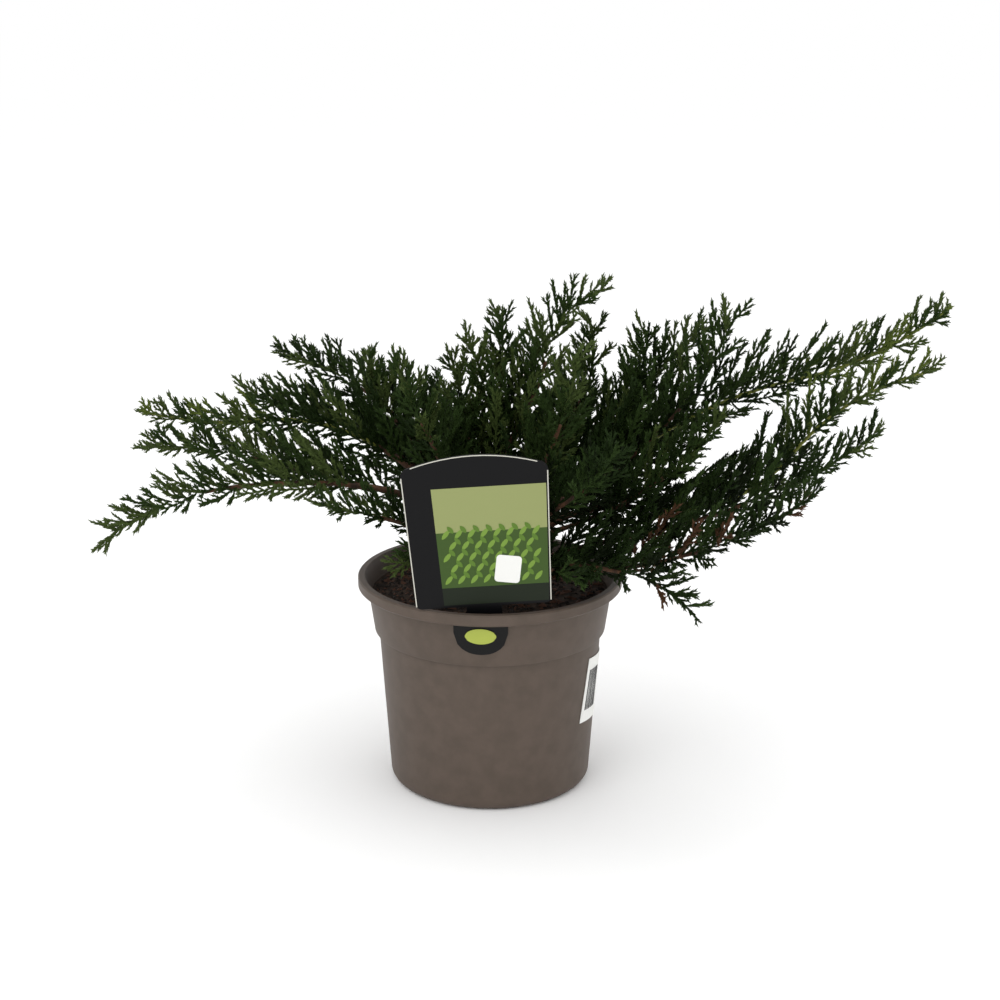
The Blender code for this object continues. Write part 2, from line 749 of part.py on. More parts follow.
def build():
    clear_scene()
    plastic = make_material("pot_plastic", (0.125, 0.096, 0.078), 0.55)
    earth = make_material("compost", (0.022, 0.013, 0.008), 0.95)
    card = make_material("label_card", (0.008, 0.008, 0.009), 0.35)
    tab_black = make_material("tab_black", (0.006, 0.006, 0.006), 0.4)
    badge_green = make_material("badge_green", (0.42, 0.5, 0.12), 0.45)
    paper = make_material("sticker_paper", (0.8, 0.8, 0.78), 0.6)
    bark = make_material("bark", (0.095, 0.045, 0.025), 0.85)
    leaf = make_material("foliage", (0.022, 0.045, 0.014), 0.6)

    make_pot(plastic)
    make_compost(earth)
    make_label(card)
    make_tab(tab_black)
    make_badge(badge_green)
    make_sticker(paper)
    make_stem(bark)
    paths = {limb.name: limb_path(limb) for limb in LIMBS}
    solids = {}
    for limb in LIMBS:
        path = paths[limb.name]
        solids[limb.name] = [make_twig(limb, path, leaf)]
        if has_bough(limb):
            solids[limb.name].append(make_bough(limb, path, bark))
    space = Space(paths, solids)
    for limb in LIMBS:
        make_mass(limb, paths[limb.name], solids[limb.name][0], space, leaf)


build()
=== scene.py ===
# %% Load the shared frame
import json
import math
import random
from collections import namedtuple

import bpy
import numpy as np
from mathutils import Matrix, Vector, noise

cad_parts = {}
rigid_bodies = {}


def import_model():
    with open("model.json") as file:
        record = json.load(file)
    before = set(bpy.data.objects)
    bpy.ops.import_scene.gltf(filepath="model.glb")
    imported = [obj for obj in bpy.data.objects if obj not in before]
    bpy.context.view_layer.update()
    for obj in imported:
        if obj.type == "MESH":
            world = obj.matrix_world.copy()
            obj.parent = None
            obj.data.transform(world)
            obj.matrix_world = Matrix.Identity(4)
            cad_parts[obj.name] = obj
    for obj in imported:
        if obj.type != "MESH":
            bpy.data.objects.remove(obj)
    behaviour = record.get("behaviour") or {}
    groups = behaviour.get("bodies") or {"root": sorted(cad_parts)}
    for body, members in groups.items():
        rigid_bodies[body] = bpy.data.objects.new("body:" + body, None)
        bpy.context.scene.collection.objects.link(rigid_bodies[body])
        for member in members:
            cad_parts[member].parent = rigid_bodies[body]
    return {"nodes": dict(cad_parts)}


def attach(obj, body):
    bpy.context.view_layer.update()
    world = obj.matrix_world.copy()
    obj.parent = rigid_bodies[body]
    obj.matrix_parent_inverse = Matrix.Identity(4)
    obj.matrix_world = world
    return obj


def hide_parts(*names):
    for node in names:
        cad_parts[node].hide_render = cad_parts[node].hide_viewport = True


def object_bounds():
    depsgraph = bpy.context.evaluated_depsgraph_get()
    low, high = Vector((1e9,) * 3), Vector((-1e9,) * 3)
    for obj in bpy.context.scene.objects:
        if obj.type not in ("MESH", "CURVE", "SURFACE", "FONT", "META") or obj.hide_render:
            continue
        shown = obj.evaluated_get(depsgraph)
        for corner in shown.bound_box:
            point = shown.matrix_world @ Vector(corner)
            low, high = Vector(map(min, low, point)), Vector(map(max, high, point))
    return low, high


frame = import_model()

cad_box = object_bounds()
print("CAD nodes:", len(frame["nodes"]), "box:", cad_box)

# %% [markdown]
# This lesson dresses a spreading juniper in a nursery pot. The solid model gives each piece's place
# and size. The script puts finer meshes in the same places, so nothing has to be fitted by eye.
# Sizes are written in millimetres, because that is how a pot or a twig is measured, and one factor
# turns them into Blender's metres.

# %% Units and small helpers
MM = 0.001
UP = Vector((0, 0, 1))


def linear(hex_colour):
    """An sRGB hex colour as the linear red, green and blue that a shader expects."""
    channels = [int(hex_colour[i:i + 2], 16) / 255 for i in (1, 3, 5)]
    return [c / 12.92 if c <= 0.04045 else ((c + 0.055) / 1.055) ** 2.4 for c in channels]


def interpolate(values, share):
    """A value read from evenly spaced values at a share from 0 to 1."""
    place = min(max(share, 0.0), 1.0) * (len(values) - 1)
    index = min(int(place), len(values) - 2)
    return values[index] + (values[index + 1] - values[index]) * (place - index)


def add_node(tree, kind, settings=None, values=None, links=None):
    """Adds a node, sets its properties and input values, and links its inputs."""
    node = tree.nodes.new(kind)
    for name, value in (settings or {}).items():
        setattr(node, name, value)
    for name, value in (values or {}).items():
        node.inputs[name].default_value = value
    for name, source in (links or {}).items():
        tree.links.new(source, node.inputs[name])
    return node


def add_piece(name, points, faces, material, smooth=True):
    """A piece of the object from points in millimetres, which rides on the pot."""
    mesh = bpy.data.meshes.new(name)
    mesh.from_pydata([Vector(p) * MM for p in points], [], faces)
    mesh.materials.append(material)
    if smooth:
        mesh.shade_smooth()
    piece = bpy.data.objects.new(name, mesh)
    bpy.context.scene.collection.objects.link(piece)
    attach(piece, "root")
    return piece


def add_shape(points, faces, shape, sides):
    """Adds one shape's points and faces to the lists of a mesh that joins many shapes."""
    faces += [tuple(len(points) + i for i in side) for side in sides]
    points += shape


def dress(node, material):
    """Gives a CAD node that stays in view its finish."""
    mesh = frame["nodes"][node].data
    mesh.materials.clear()
    mesh.materials.append(material)


print("white in linear light:", linear("#FFFFFF"))

# %% [markdown]
# The finishes are few. The pot is matt moulded plastic, the label is glossy printed card, the stem
# is flaking bark, and the leaves are waxy scales. Each finish is one Principled shader. Where the
# real surface is mottled, a noise texture in Object coordinates blends two near colours and gives a
# slight bump. The leaves keep plain colours, and it is the sprays that differ from each other.

# %% Materials
def plain(name, colour, roughness, shine=0.5):
    """A finish of one colour. Shine is the strength of its reflection."""
    material = bpy.data.materials.new(name)
    material.use_nodes = True
    shader = material.node_tree.nodes["Principled BSDF"]
    shader.inputs["Specular IOR Level"].default_value = shine
    shader.inputs["Base Color"].default_value = (*linear(colour), 1)
    shader.inputs["Roughness"].default_value = roughness
    material.diffuse_color = (*linear(colour), 1)
    return material


def mottled(name, dark, light, roughness, scale, bump, stretch=(1, 1, 1), shine=0.3):
    """A finish whose colour wanders between two tones, with a bump of the same grain."""
    material = plain(name, light, roughness, shine)
    tree = material.node_tree
    shader = tree.nodes["Principled BSDF"]
    place = add_node(tree, "ShaderNodeTexCoord")
    spread = add_node(tree, "ShaderNodeMapping", values={"Scale": stretch},
                      links={"Vector": place.outputs["Object"]})
    grain = add_node(tree, "ShaderNodeTexNoise", values={"Scale": scale, "Detail": 6.0},
                     links={"Vector": spread.outputs["Vector"]})
    ramp = add_node(tree, "ShaderNodeValToRGB", links={"Fac": grain.outputs["Fac"]})
    ramp.color_ramp.elements[0].position = 0.35
    ramp.color_ramp.elements[0].color = (*linear(dark), 1)
    ramp.color_ramp.elements[1].position = 0.65
    ramp.color_ramp.elements[1].color = (*linear(light), 1)
    height = add_node(tree, "ShaderNodeBump", values={"Strength": 0.6, "Distance": bump * MM},
                      links={"Height": grain.outputs["Fac"]})
    tree.links.new(ramp.outputs["Color"], shader.inputs["Base Color"])
    tree.links.new(height.outputs["Normal"], shader.inputs["Normal"])
    return material


pot_plastic = mottled("matt_taupe_plastic", "#50453C", "#574B42", 0.55, 90, 0.1)
compost_earth = mottled("damp_compost", "#1C130D", "#3A2A1E", 0.95, 220, 1.2)
chip_bark = plain("compost_bark_chip", "#4A2E1F", 0.9)
chip_dark = plain("compost_dark_crumb", "#1E1610", 0.95)
card_black = plain("glossy_black_card", "#08080A", 0.4, 0.15)
card_edge = plain("pale_card_core", "#C9C7BC", 0.5)
tab_plastic = plain("black_tab_plastic", "#070707", 0.45, 0.2)
badge_ink = plain("yellow_green_ink", "#A3AE4A", 0.45, 0.3)
sticker_paper = plain("white_sticker_paper", "#E9E9E5", 0.6)
sticker_ink = plain("black_sticker_ink", "#1A1A1C", 0.6)
stem_bark = mottled("red_brown_juniper_bark", "#2B1D14", "#5C3F2B", 0.85, 180, 0.6, (1, 1, 0.25))
print("materials:", len(bpy.data.materials))

# %% [markdown]
# The pot is a real turned shape: injection moulding gives it a thin wall, a stepped collar and a
# flat rim. A lathe profile carried round the axis makes it. The CAD pot has few sides to stay
# light, so here the same profile is turned with many more, and the drain holes are cut again.

# %% The pot's sizes and its outline
POT_HEIGHT = 154.3
RIM_R = 95.0
RIM_MOUTH_R = 89.6
RIM_BAND = 8.2
COLLAR_TOP_R = 88.0
COLLAR_FOOT_R = 83.4
COLLAR_FOOT_Z = 113.7
BODY_TOP_R = 80.3
BASE_R = 72.5
BASE_EDGE = 7.0
WALL = 1.6
FLOOR_Z = 4.9
FOOT_DISC_R = 40.0
GROOVE_OUTER_R = 60.0
GROOVE_DEPTH = 2.5
GROOVE_SLOPE = 2.0
DRAIN_HOLES = 6
DRAIN_HOLE_R = 4.5
DRAIN_RING_R = 50.0
DRILL_SIDES = 32
DRILL_LENGTH = 30.0
POT_SIDES = 160
BASE_EDGE_STEPS = 8
SHARP_ANGLE = 35.0


def wall_radius(z):
    """The outer radius of the pot's wall at a height, on the body or on the collar."""
    if z < COLLAR_FOOT_Z:
        return BASE_R + (BODY_TOP_R - BASE_R) * z / COLLAR_FOOT_Z
    share = (z - COLLAR_FOOT_Z) / (POT_HEIGHT - RIM_BAND - COLLAR_FOOT_Z)
    return COLLAR_FOOT_R + (COLLAR_TOP_R - COLLAR_FOOT_R) * share


def pot_profile():
    """The closed outline (radius, height), from the axis below round to the axis inside."""
    band_foot = POT_HEIGHT - RIM_BAND
    edge_r = wall_radius(BASE_EDGE)
    outline = [(0, 0), (FOOT_DISC_R, 0), (FOOT_DISC_R + GROOVE_SLOPE, GROOVE_DEPTH)]
    outline += [(GROOVE_OUTER_R - GROOVE_SLOPE, GROOVE_DEPTH), (GROOVE_OUTER_R, 0)]
    for i in range(BASE_EDGE_STEPS + 1):
        angle = math.radians(-90 + 90 * i / BASE_EDGE_STEPS)
        outline.append((edge_r - BASE_EDGE + BASE_EDGE * math.cos(angle),
                        BASE_EDGE + BASE_EDGE * math.sin(angle)))
    outline += [(wall_radius(z), z) for z in (40, 75, COLLAR_FOOT_Z - 1.2)]
    outline += [(COLLAR_FOOT_R - 0.8, COLLAR_FOOT_Z - 0.4), (COLLAR_FOOT_R, COLLAR_FOOT_Z + 0.8)]
    outline += [(COLLAR_TOP_R, band_foot - 0.4), (RIM_R - 1.2, band_foot), (RIM_R, band_foot + 1.2)]
    outline += [(RIM_R, POT_HEIGHT - 1.0), (RIM_R - 0.9, POT_HEIGHT)]
    outline += [(RIM_MOUTH_R + 0.6, POT_HEIGHT), (RIM_MOUTH_R, POT_HEIGHT - 0.8)]
    outline += [(wall_radius(z) - WALL, z) for z in (band_foot, COLLAR_FOOT_Z + 1)]
    outline += [(wall_radius(z) - WALL, z) for z in (COLLAR_FOOT_Z - 3, BASE_EDGE + 6)]
    outline += [(BASE_R - BASE_EDGE, FLOOR_Z), (0, FLOOR_Z)]
    return outline


print("pot outline points:", len(pot_profile()))

# %% Turn the pot and cut its drain holes
def turned(profile, sides):
    """Points and faces of an outline turned about the axis, which it starts and ends on."""
    points = [(0, 0, profile[0][1]), (0, 0, profile[-1][1])]
    rings = []
    for radius, z in profile[1:-1]:
        rings.append(len(points))
        for i in range(sides):
            angle = 2 * math.pi * i / sides
            points.append((radius * math.cos(angle), radius * math.sin(angle), z))
    faces = []
    for i in range(sides):
        j = (i + 1) % sides
        faces.append((0, rings[0] + j, rings[0] + i))
        faces.append((1, rings[-1] + i, rings[-1] + j))
        for low, high in zip(rings, rings[1:]):
            faces.append((low + i, low + j, high + j, high + i))
    return points, faces


pot = add_piece("pot_turned", *turned(pot_profile(), POT_SIDES), pot_plastic)
drills = bpy.data.collections.new("drain_drills")
bpy.context.scene.collection.children.link(drills)
for i in range(DRAIN_HOLES):
    angle = 2 * math.pi * (i + 0.5) / DRAIN_HOLES
    place = (DRAIN_RING_R * MM * math.cos(angle), DRAIN_RING_R * MM * math.sin(angle), 0)
    bpy.ops.mesh.primitive_cylinder_add(vertices=DRILL_SIDES, radius=DRAIN_HOLE_R * MM,
                                        depth=DRILL_LENGTH * MM, location=place)
    drill = bpy.context.object
    for home in list(drill.users_collection):
        home.objects.unlink(drill)
    drills.objects.link(drill)
cut = pot.modifiers.new("drain_holes", "BOOLEAN")
cut.operand_type = "COLLECTION"
cut.collection = drills
cut.operation = "DIFFERENCE"
pot.data = bpy.data.meshes.new_from_object(pot.evaluated_get(bpy.context.evaluated_depsgraph_get()))
pot.modifiers.clear()
for drill in list(drills.objects):
    bpy.data.objects.remove(drill, do_unlink=True)
bpy.data.collections.remove(drills)
pot.data.set_sharp_from_angle(angle=math.radians(SHARP_ANGLE))
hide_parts("pot")
print("pot faces:", len(pot.data.polygons))

# %% [markdown]
# The pot is filled with a dark peaty compost with small chips of bark in it. The CAD surface stays,
# and loose crumbs are strewn over it as small uneven wedges, all joined into two pieces.

# %% Compost and crumbs
COMPOST_Z = 141.0
COMPOST_CROWN = 1.5
STEM_FOOT_R = 12.5
CRUMBS = 1500
CRUMB_EDGE_GAP = 4.0
CRUMB_STEM_GAP = 3.0
LEVEL_SHARE = 0.3


def crumb(centre, size, chance):
    """Points and faces of one uneven wedge of bark."""
    turn = Matrix.Rotation(chance.uniform(0, 6.28), 3, UP)
    tilt = Matrix.Rotation(chance.uniform(-0.5, 0.5), 3, "X")
    corners = [(-1, -0.5, 0), (1, -0.4, 0), (0.8, 0.5, 0), (-0.9, 0.4, 0), (-0.4, 0, 0.6), (0.5, 0, 0.5)]
    points = []
    for x, y, z in corners:
        wobble = chance.uniform(0.75, 1.2)
        points.append(Vector(centre) + turn @ tilt @ Vector((x, y, z)) * size * wobble)
    faces = [(3, 2, 1, 0), (0, 1, 5, 4), (2, 3, 4, 5), (1, 2, 5), (3, 0, 4)]
    return points, faces


def strewn(name, material, amount, sizes, seed):
    """Many crumbs joined into one piece, spread evenly between the stem and the wall."""
    chance = random.Random(seed)
    points = []
    faces = []
    edge = wall_radius(COMPOST_Z) - WALL - CRUMB_EDGE_GAP
    for _ in range(amount):
        radius = math.sqrt(chance.uniform((STEM_FOOT_R + CRUMB_STEM_GAP) ** 2, edge ** 2))
        angle = chance.uniform(0, 2 * math.pi)
        fall = COMPOST_CROWN * max(0, radius / edge - LEVEL_SHARE)
        centre = (radius * math.cos(angle), radius * math.sin(angle), COMPOST_Z + COMPOST_CROWN - fall)
        shape, sides = crumb(centre, chance.uniform(*sizes), chance)
        add_shape(points, faces, shape, sides)
    return add_piece(name, points, faces, material, smooth=False)


dress("compost", compost_earth)
strewn("compost_chips", chip_bark, CRUMBS // 3, (1.2, 3.4), "chips")
strewn("compost_crumbs", chip_dark, CRUMBS, (0.8, 2.4), "crumbs")
print("crumbs:", CRUMBS + CRUMBS // 3)

# %% [markdown]
# A printed card label stands in the compost in front of the plant. The card is the CAD piece. On
# its face lie a pale cut edge, a panel with a plain pattern of leaves, and a white tag. They are
# thin plates on the card's own plane, found by the same rule that places the card.

# %% The label's plane
LABEL_TOP_WIDTH = 97.5
LABEL_FOOT_WIDTH = 91.5
LABEL_SIDE_HEIGHT = 104.0
LABEL_ARCH = 7.0
LABEL_CORNER = 7.0
LABEL_THICK = 0.9
LABEL_LEAN = 8.0
LABEL_TURN = 3.8
LABEL_X = -4.0
LABEL_Y = -84.6
LABEL_FOOT_Z = 158.2


def label_point(across, along, proud):
    """A place on the card: across it, up along it from its foot, and in front of its face."""
    turn = math.radians(LABEL_TURN)
    lean = math.radians(LABEL_LEAN)
    depth = -LABEL_THICK / 2 - proud
    x = across * math.cos(turn) - along * math.sin(turn)
    rise = across * math.sin(turn) + along * math.cos(turn)
    y = LABEL_Y - rise * math.sin(lean) + depth * math.cos(lean)
    z = LABEL_FOOT_Z + rise * math.cos(lean) + depth * math.sin(lean)
    return Vector((LABEL_X + x, y, z))


def half_width(along):
    """Half of the card's width at a height above its foot."""
    return interpolate((LABEL_FOOT_WIDTH / 2, LABEL_TOP_WIDTH / 2), along / LABEL_SIDE_HEIGHT)


def face_plates(name, outlines, proud, thick, material, slot):
    """Thin closed plates on the card's face, one for each anticlockwise outline."""
    points = []
    faces = []
    for outline in outlines:
        first = len(points)
        count = len(outline)
        points += [label_point(x, y, proud) for x, y in outline]
        points += [label_point(x, y, proud + thick) for x, y in outline]
        faces.append(tuple(first + i for i in reversed(range(count))))
        faces.append(tuple(first + count + i for i in range(count)))
        for i in range(count):
            j = (i + 1) % count
            faces.append((first + i, first + j, first + count + j, first + count + i))
    return add_piece(name, points, faces, material, smooth=False)


print("card face centre:", label_point(0, LABEL_SIDE_HEIGHT / 2, 0))

# %% The card's pale edge and its printed panel
PANEL_LEFT = 19.0
PANEL_RIGHT = 1.6
PANEL_FOOT = 2.0
PANEL_DARK = 15.0
PANEL_MIDDLE = 56.0
PANEL_TOP = 88.0
EDGE_WIDTH = 0.7
PATTERN_LEFT = -22.0
PATTERN_ROWS = 5
PATTERN_COLUMNS = 8
ROW_GAP = 8.4
COLUMN_GAP = 8.6
PATTERN_MARGIN = 7.0
PATTERN_FOOT = PANEL_DARK + 6
LEAF_PRINT_WIDTH = 3.2
PRINT_POINTS = 12
EDGE_FOOT = 2.0
EDGE_MIDDLE = 50.0
CREST_STEPS = 12
CREST_INSET = 0.4
# Each print's shift, leaf length and turn
LIGHT_LEAVES = (0, 8.4, 0.9)
MID_LEAVES = (3.4, 6.4, 2.2)
# Each layer's distance from the card's face, and its thickness
EDGE_LAYER = (0.05, 0.05)
PANEL_LAYER = (0.05, 0.1)
LIGHT_LAYER = (0.2, 0.05)
MID_LAYER = (0.3, 0.05)


def band(foot, top):
    """A four-sided band of the panel between two heights."""
    return [(-half_width(foot) + PANEL_LEFT, foot), (half_width(foot) - PANEL_RIGHT, foot),
            (half_width(top) - PANEL_RIGHT, top), (-half_width(top) + PANEL_LEFT, top)]


def leaf_outline(x, y, length, width, turn):
    """A pointed oval, turned about its centre."""
    outline = []
    for i in range(PRINT_POINTS):
        angle = 2 * math.pi * i / PRINT_POINTS
        a = length / 2 * math.cos(angle)
        b = width / 2 * math.sin(angle) * abs(math.sin(angle)) ** 0.5
        outline.append((x + a * math.cos(turn) - b * math.sin(turn),
                        y + a * math.sin(turn) + b * math.cos(turn)))
    return outline


def leaf_rows(shift, length, turn):
    """Even rows of leaves over the middle of the panel, every other row set half a gap across."""
    leaves = []
    for row in range(PATTERN_ROWS):
        for column in range(PATTERN_COLUMNS):
            x = PATTERN_LEFT + COLUMN_GAP * column + COLUMN_GAP / 2 * (row % 2) + shift
            y = PATTERN_FOOT + ROW_GAP * row + shift
            if x < half_width(0) - PATTERN_MARGIN:
                leaves.append(leaf_outline(x, y, length, LEAF_PRINT_WIDTH, turn))
    return leaves


edge_heights = (EDGE_FOOT, EDGE_MIDDLE, LABEL_SIDE_HEIGHT - LABEL_CORNER)
sides = []
for sign in (-1, 1):
    outer = [(sign * half_width(y), y) for y in edge_heights]
    inner = [(x - sign * EDGE_WIDTH, y) for x, y in outer]
    sides.append(outer + inner[::-1] if sign > 0 else inner + outer[::-1])
top_half = LABEL_TOP_WIDTH / 2 - LABEL_CORNER
crest = []
for i in range(CREST_STEPS + 1):
    across = top_half * (1 - 2 * i / CREST_STEPS)
    rise = (LABEL_ARCH - CREST_INSET) * (1 - (across / top_half) ** 2)
    crest.append((across, LABEL_SIDE_HEIGHT + rise))
sides.append([(x, y - EDGE_WIDTH) for x, y in crest[::-1]] + crest)
panel_pale = plain("printed_pale_olive", "#8F9661", 0.35, 0.2)
panel_green = plain("printed_mid_green", "#3A5120", 0.35, 0.2)
panel_dark = plain("printed_dark_green", "#141D0D", 0.35, 0.2)
leaf_light = plain("printed_yellow_green", "#71903A", 0.35, 0.2)
leaf_mid = plain("printed_leaf_green", "#56752A", 0.35, 0.2)
face_plates("label_edge", sides, *EDGE_LAYER, card_edge, "label_card")
face_plates("label_panel_top", [band(PANEL_MIDDLE, PANEL_TOP)], *PANEL_LAYER, panel_pale, "label_card")
face_plates("label_panel_mid", [band(PANEL_DARK, PANEL_MIDDLE)], *PANEL_LAYER, panel_green, "label_card")
face_plates("label_panel_foot", [band(PANEL_FOOT, PANEL_DARK)], *PANEL_LAYER, panel_dark, "label_card")
face_plates("label_leaves_light", leaf_rows(*LIGHT_LEAVES), *LIGHT_LAYER, leaf_light, "label_card")
face_plates("label_leaves_mid", leaf_rows(*MID_LEAVES), *MID_LAYER, leaf_mid, "label_card")
dress("label", card_black)
print("leaves on the label:", len(leaf_rows(*LIGHT_LEAVES)) + len(leaf_rows(*MID_LEAVES)))

# %% The white tag on the label
TAG_CENTRE = (18.0, 27.0)
TAG_SIZE = (17.0, 20.0)
TAG_CORNER = 2.5
TAG_TURN = -9.0
TAG_LAYER = (0.4, 0.15)
CORNER_STEPS = 4


def rounded_rectangle(centre, size, corner, turn):
    """An anticlockwise outline with round corners, turned about its centre."""
    outline = []
    for quarter, (sx, sy) in enumerate(((1, 1), (-1, 1), (-1, -1), (1, -1))):
        for i in range(CORNER_STEPS + 1):
            angle = math.pi / 2 * (quarter + i / CORNER_STEPS)
            x = sx * (size[0] / 2 - corner) + corner * math.cos(angle)
            y = sy * (size[1] / 2 - corner) + corner * math.sin(angle)
            a = math.radians(turn)
            outline.append((centre[0] + x * math.cos(a) - y * math.sin(a),
                            centre[1] + x * math.sin(a) + y * math.cos(a)))
    return outline


tag = rounded_rectangle(TAG_CENTRE, TAG_SIZE, TAG_CORNER, TAG_TURN)
face_plates("label_tag", [tag], *TAG_LAYER, sticker_paper, "sticker_paper")
print("tag outline points:", len(tag))

# %% [markdown]
# The pot wall carries a black tab with a coloured oval and a white paper sticker. Both are bent
# CAD plates and only need their finish. The sticker's print is a few plain bars, each a short
# plate bent round the wall by the same rule as the sticker itself.

# %% Tab, badge and sticker
STICKER_BEARING = -14.0
STICKER_Z = 75.0
STICKER_TURN = -7.5
STICKER_PROUD = 0.72
BAR_WIDTHS = (1.6, 0.7, 1.1, 2.0, 0.7, 1.5, 0.8, 1.9, 1.0, 0.7)
BAR_START = -19.0
BAR_GAP = 0.9
BAR_HEIGHT = 30.0
BAR_THICK = 0.08
BAR_FACES = ((0, 2, 3, 1), (4, 5, 7, 6), (0, 1, 5, 4), (1, 3, 7, 5), (3, 2, 6, 7), (2, 0, 4, 6))


def wall_point(across, up, proud):
    """A place on the sticker, bent round the wall and turned with it."""
    turn = math.radians(STICKER_TURN)
    z = STICKER_Z + across * math.sin(turn) + up * math.cos(turn)
    arc = across * math.cos(turn) - up * math.sin(turn)
    radius = wall_radius(z) + proud
    angle = math.radians(STICKER_BEARING) + arc / wall_radius(z)
    return (radius * math.cos(angle), radius * math.sin(angle), z)


points = []
faces = []
start = BAR_START
for width in BAR_WIDTHS:
    bar = []
    for proud in (STICKER_PROUD, STICKER_PROUD + BAR_THICK):
        for up in (-BAR_HEIGHT / 2, BAR_HEIGHT / 2):
            bar += [wall_point(start, up, proud), wall_point(start + width, up, proud)]
    add_shape(points, faces, bar, BAR_FACES)
    start += width + BAR_GAP
add_piece("sticker_bars", points, faces, sticker_ink, smooth=False)
dress("pot_tab", tab_plastic)
dress("tab_badge", badge_ink)
dress("sticker", sticker_paper)
print("sticker bars:", len(BAR_WIDTHS))

# %% [markdown]
# The plant has one short stem and many long low limbs. Each limb is a path that starts on the stem
# and changes its slope along its length. The limbs below are the ones of the solid model, written
# as a handful of measurements each, and the same rule turns them into the same lines in space.

# %% The limbs
FIT = 0.3
STEM_R = 10.0
STEM_TOP_R = 7.5
STEM_TOP_Z = 193.0
BOUGH_FOOT_R = 2.7
BOUGH_TIP_R = 1.9
TWIG_TIP_R = 0.7
PATH_STEPS = 60

Limb = namedtuple("Limb", "name group bearing sweep fork length pitches bare spray")
LIMBS = (
    Limb("left_under", "left", 213, -16, 149, 151, (58, 38, 15, 24), 40, 54),
    Limb("left_low", "left", 201, -19, 158, 310, (73, 12, -6, -44), 112, 58),
    Limb("left_mid", "left", 181, -2, 166, 264, (62, 12, 16, -6), 78, 66),
    Limb("left_whip", "left", 173, -1, 179, 277, (56, 32, -8, 14), 66, 62),
    Limb("left_fan", "left", 159, 5, 171, 220, (62, 38, 14, 8), 70, 62),
    Limb("left_back", "back", 140, 10, 160, 242, (64, 50, 22, 4), 60, 68),
    Limb("left_plume", "left", 152, 7, 186, 152, (48, 46, 50, 80), 34, 64),
    Limb("left_front_plume", "left", 214, -14, 172, 166, (66, 68, 63, 75), 38, 62),
    Limb("left_fringe", "left", 238, -18, 151, 108, (58, 44, -8, -34), 34, 44),
    Limb("centre_left", "centre", 124, 26, 189, 130, (64, 85, 74, 65), 26, 60),
    Limb("centre_back_left", "centre", 100, 52, 178, 152, (64, 90, 92, 34), 32, 66),
    Limb("centre_back", "centre", 74, 18, 168, 176, (62, 78, 84, 76), 36, 72),
    Limb("leader", "centre", 40, -40, 193, 196, (90, 54, 78, 10), 30, 74),
    Limb("centre_front", "centre", -32, 0, 184, 155, (57, 60, 71, 81), 30, 66),
    Limb("centre_right", "centre", 40, -2, 181, 182, (64, 38, 58, 115), 38, 68),
    Limb("right_plume", "high", 12, 6, 188, 187, (36, 34, 64, 87), 38, 72),
    Limb("right_arch", "high", 28, -14, 167, 232, (46, 25, 72, 18), 52, 80),
    Limb("right_crest", "high", -4, 14, 180, 238, (30, 34, 52, 70), 60, 84),
    Limb("right_whip", "high", 12, -10, 174, 366, (34, 34, 11, 39), 80, 84),
    Limb("right_fan", "high", -20, 16, 171, 196, (26, 24, 40, 60), 54, 76),
    Limb("right_mid", "right", -6, 0, 161, 344, (56, -8, 54, 12), 78, 84),
    Limb("right_low", "right", -19, 5, 154, 289, (28, 16, 26, 41), 60, 80),
    Limb("right_under", "right", -33, 6, 147, 262, (20, 14, 26, 44), 48, 72),
    Limb("right_droop", "right", -48, 10, 159, 186, (28, 8, 2, -42), 42, 62),
    Limb("front_right", "right", -56, 10, 173, 160, (36, 34, 36, 60), 32, 66),
    Limb("front_low", "right", -63, 8, 150, 118, (38, 22, 8, -12), 34, 48),
    Limb("back_low_left", "back", 124, -6, 150, 214, (40, 22, 12, 18), 50, 72),
    Limb("back_left", "back", 100, 6, 158, 208, (50, 26, 18, 26), 48, 72),
    Limb("back_right", "back", 68, -4, 156, 214, (44, 24, 14, 22), 50, 72),
    Limb("back_low_right", "back", 45, -4, 149, 222, (36, 20, 14, 20), 52, 72),
)


def stem_radius(z):
    """The stem's radius at a height, without the flare at its foot."""
    share = (z - COMPOST_Z) / (STEM_TOP_Z - COMPOST_Z)
    return interpolate((STEM_R, STEM_R * 0.93, STEM_TOP_R * 1.04, STEM_TOP_R), share)


def limb_path(limb):
    """Points along a limb's middle line, from the stem's surface to the tip."""
    first = math.radians(limb.pitches[0])
    on_top = limb.fork >= STEM_TOP_Z
    start_r = 0.0 if on_top else stem_radius(limb.fork) + FIT + BOUGH_FOOT_R * math.sin(first)
    bearing = math.radians(limb.bearing)
    rise = FIT if on_top else 0.0
    point = Vector((start_r * math.cos(bearing), start_r * math.sin(bearing), limb.fork + rise))
    points = [point.copy()]
    for i in range(PATH_STEPS):
        share = (i + 0.5) / PATH_STEPS
        pitch = math.radians(interpolate(limb.pitches, share))
        heading = math.radians(limb.bearing + limb.sweep * share)
        ahead = Vector((math.cos(heading), math.sin(heading), 0)) * math.cos(pitch)
        point = point + (ahead + UP * math.sin(pitch)) * (limb.length / PATH_STEPS)
        points.append(point)
    return points


def along(path, distance, length):
    """The point and the forward direction at a distance from a path's foot."""
    place = min(max(distance / length, 0.0), 1.0) * (len(path) - 1)
    index = min(int(place), len(path) - 2)
    ahead = path[index + 1] - path[index]
    return path[index] + ahead * (place - index), ahead.normalized()


paths = {limb.name: limb_path(limb) for limb in LIMBS}
print("limbs:", len(LIMBS), "total length in mm:", sum(limb.length for limb in LIMBS))

# %% [markdown]
# Juniper bark peels in long narrow strips, so the stem and limbs aren't smooth rods. A displaced
# tube shows that relief in its outline too, which a bump map can't. The ridges come from a noise
# that is stretched along the limb.

# %% A tube with bark relief
GRAIN_ROUND = 2.2
GRAIN_ALONG = 0.07


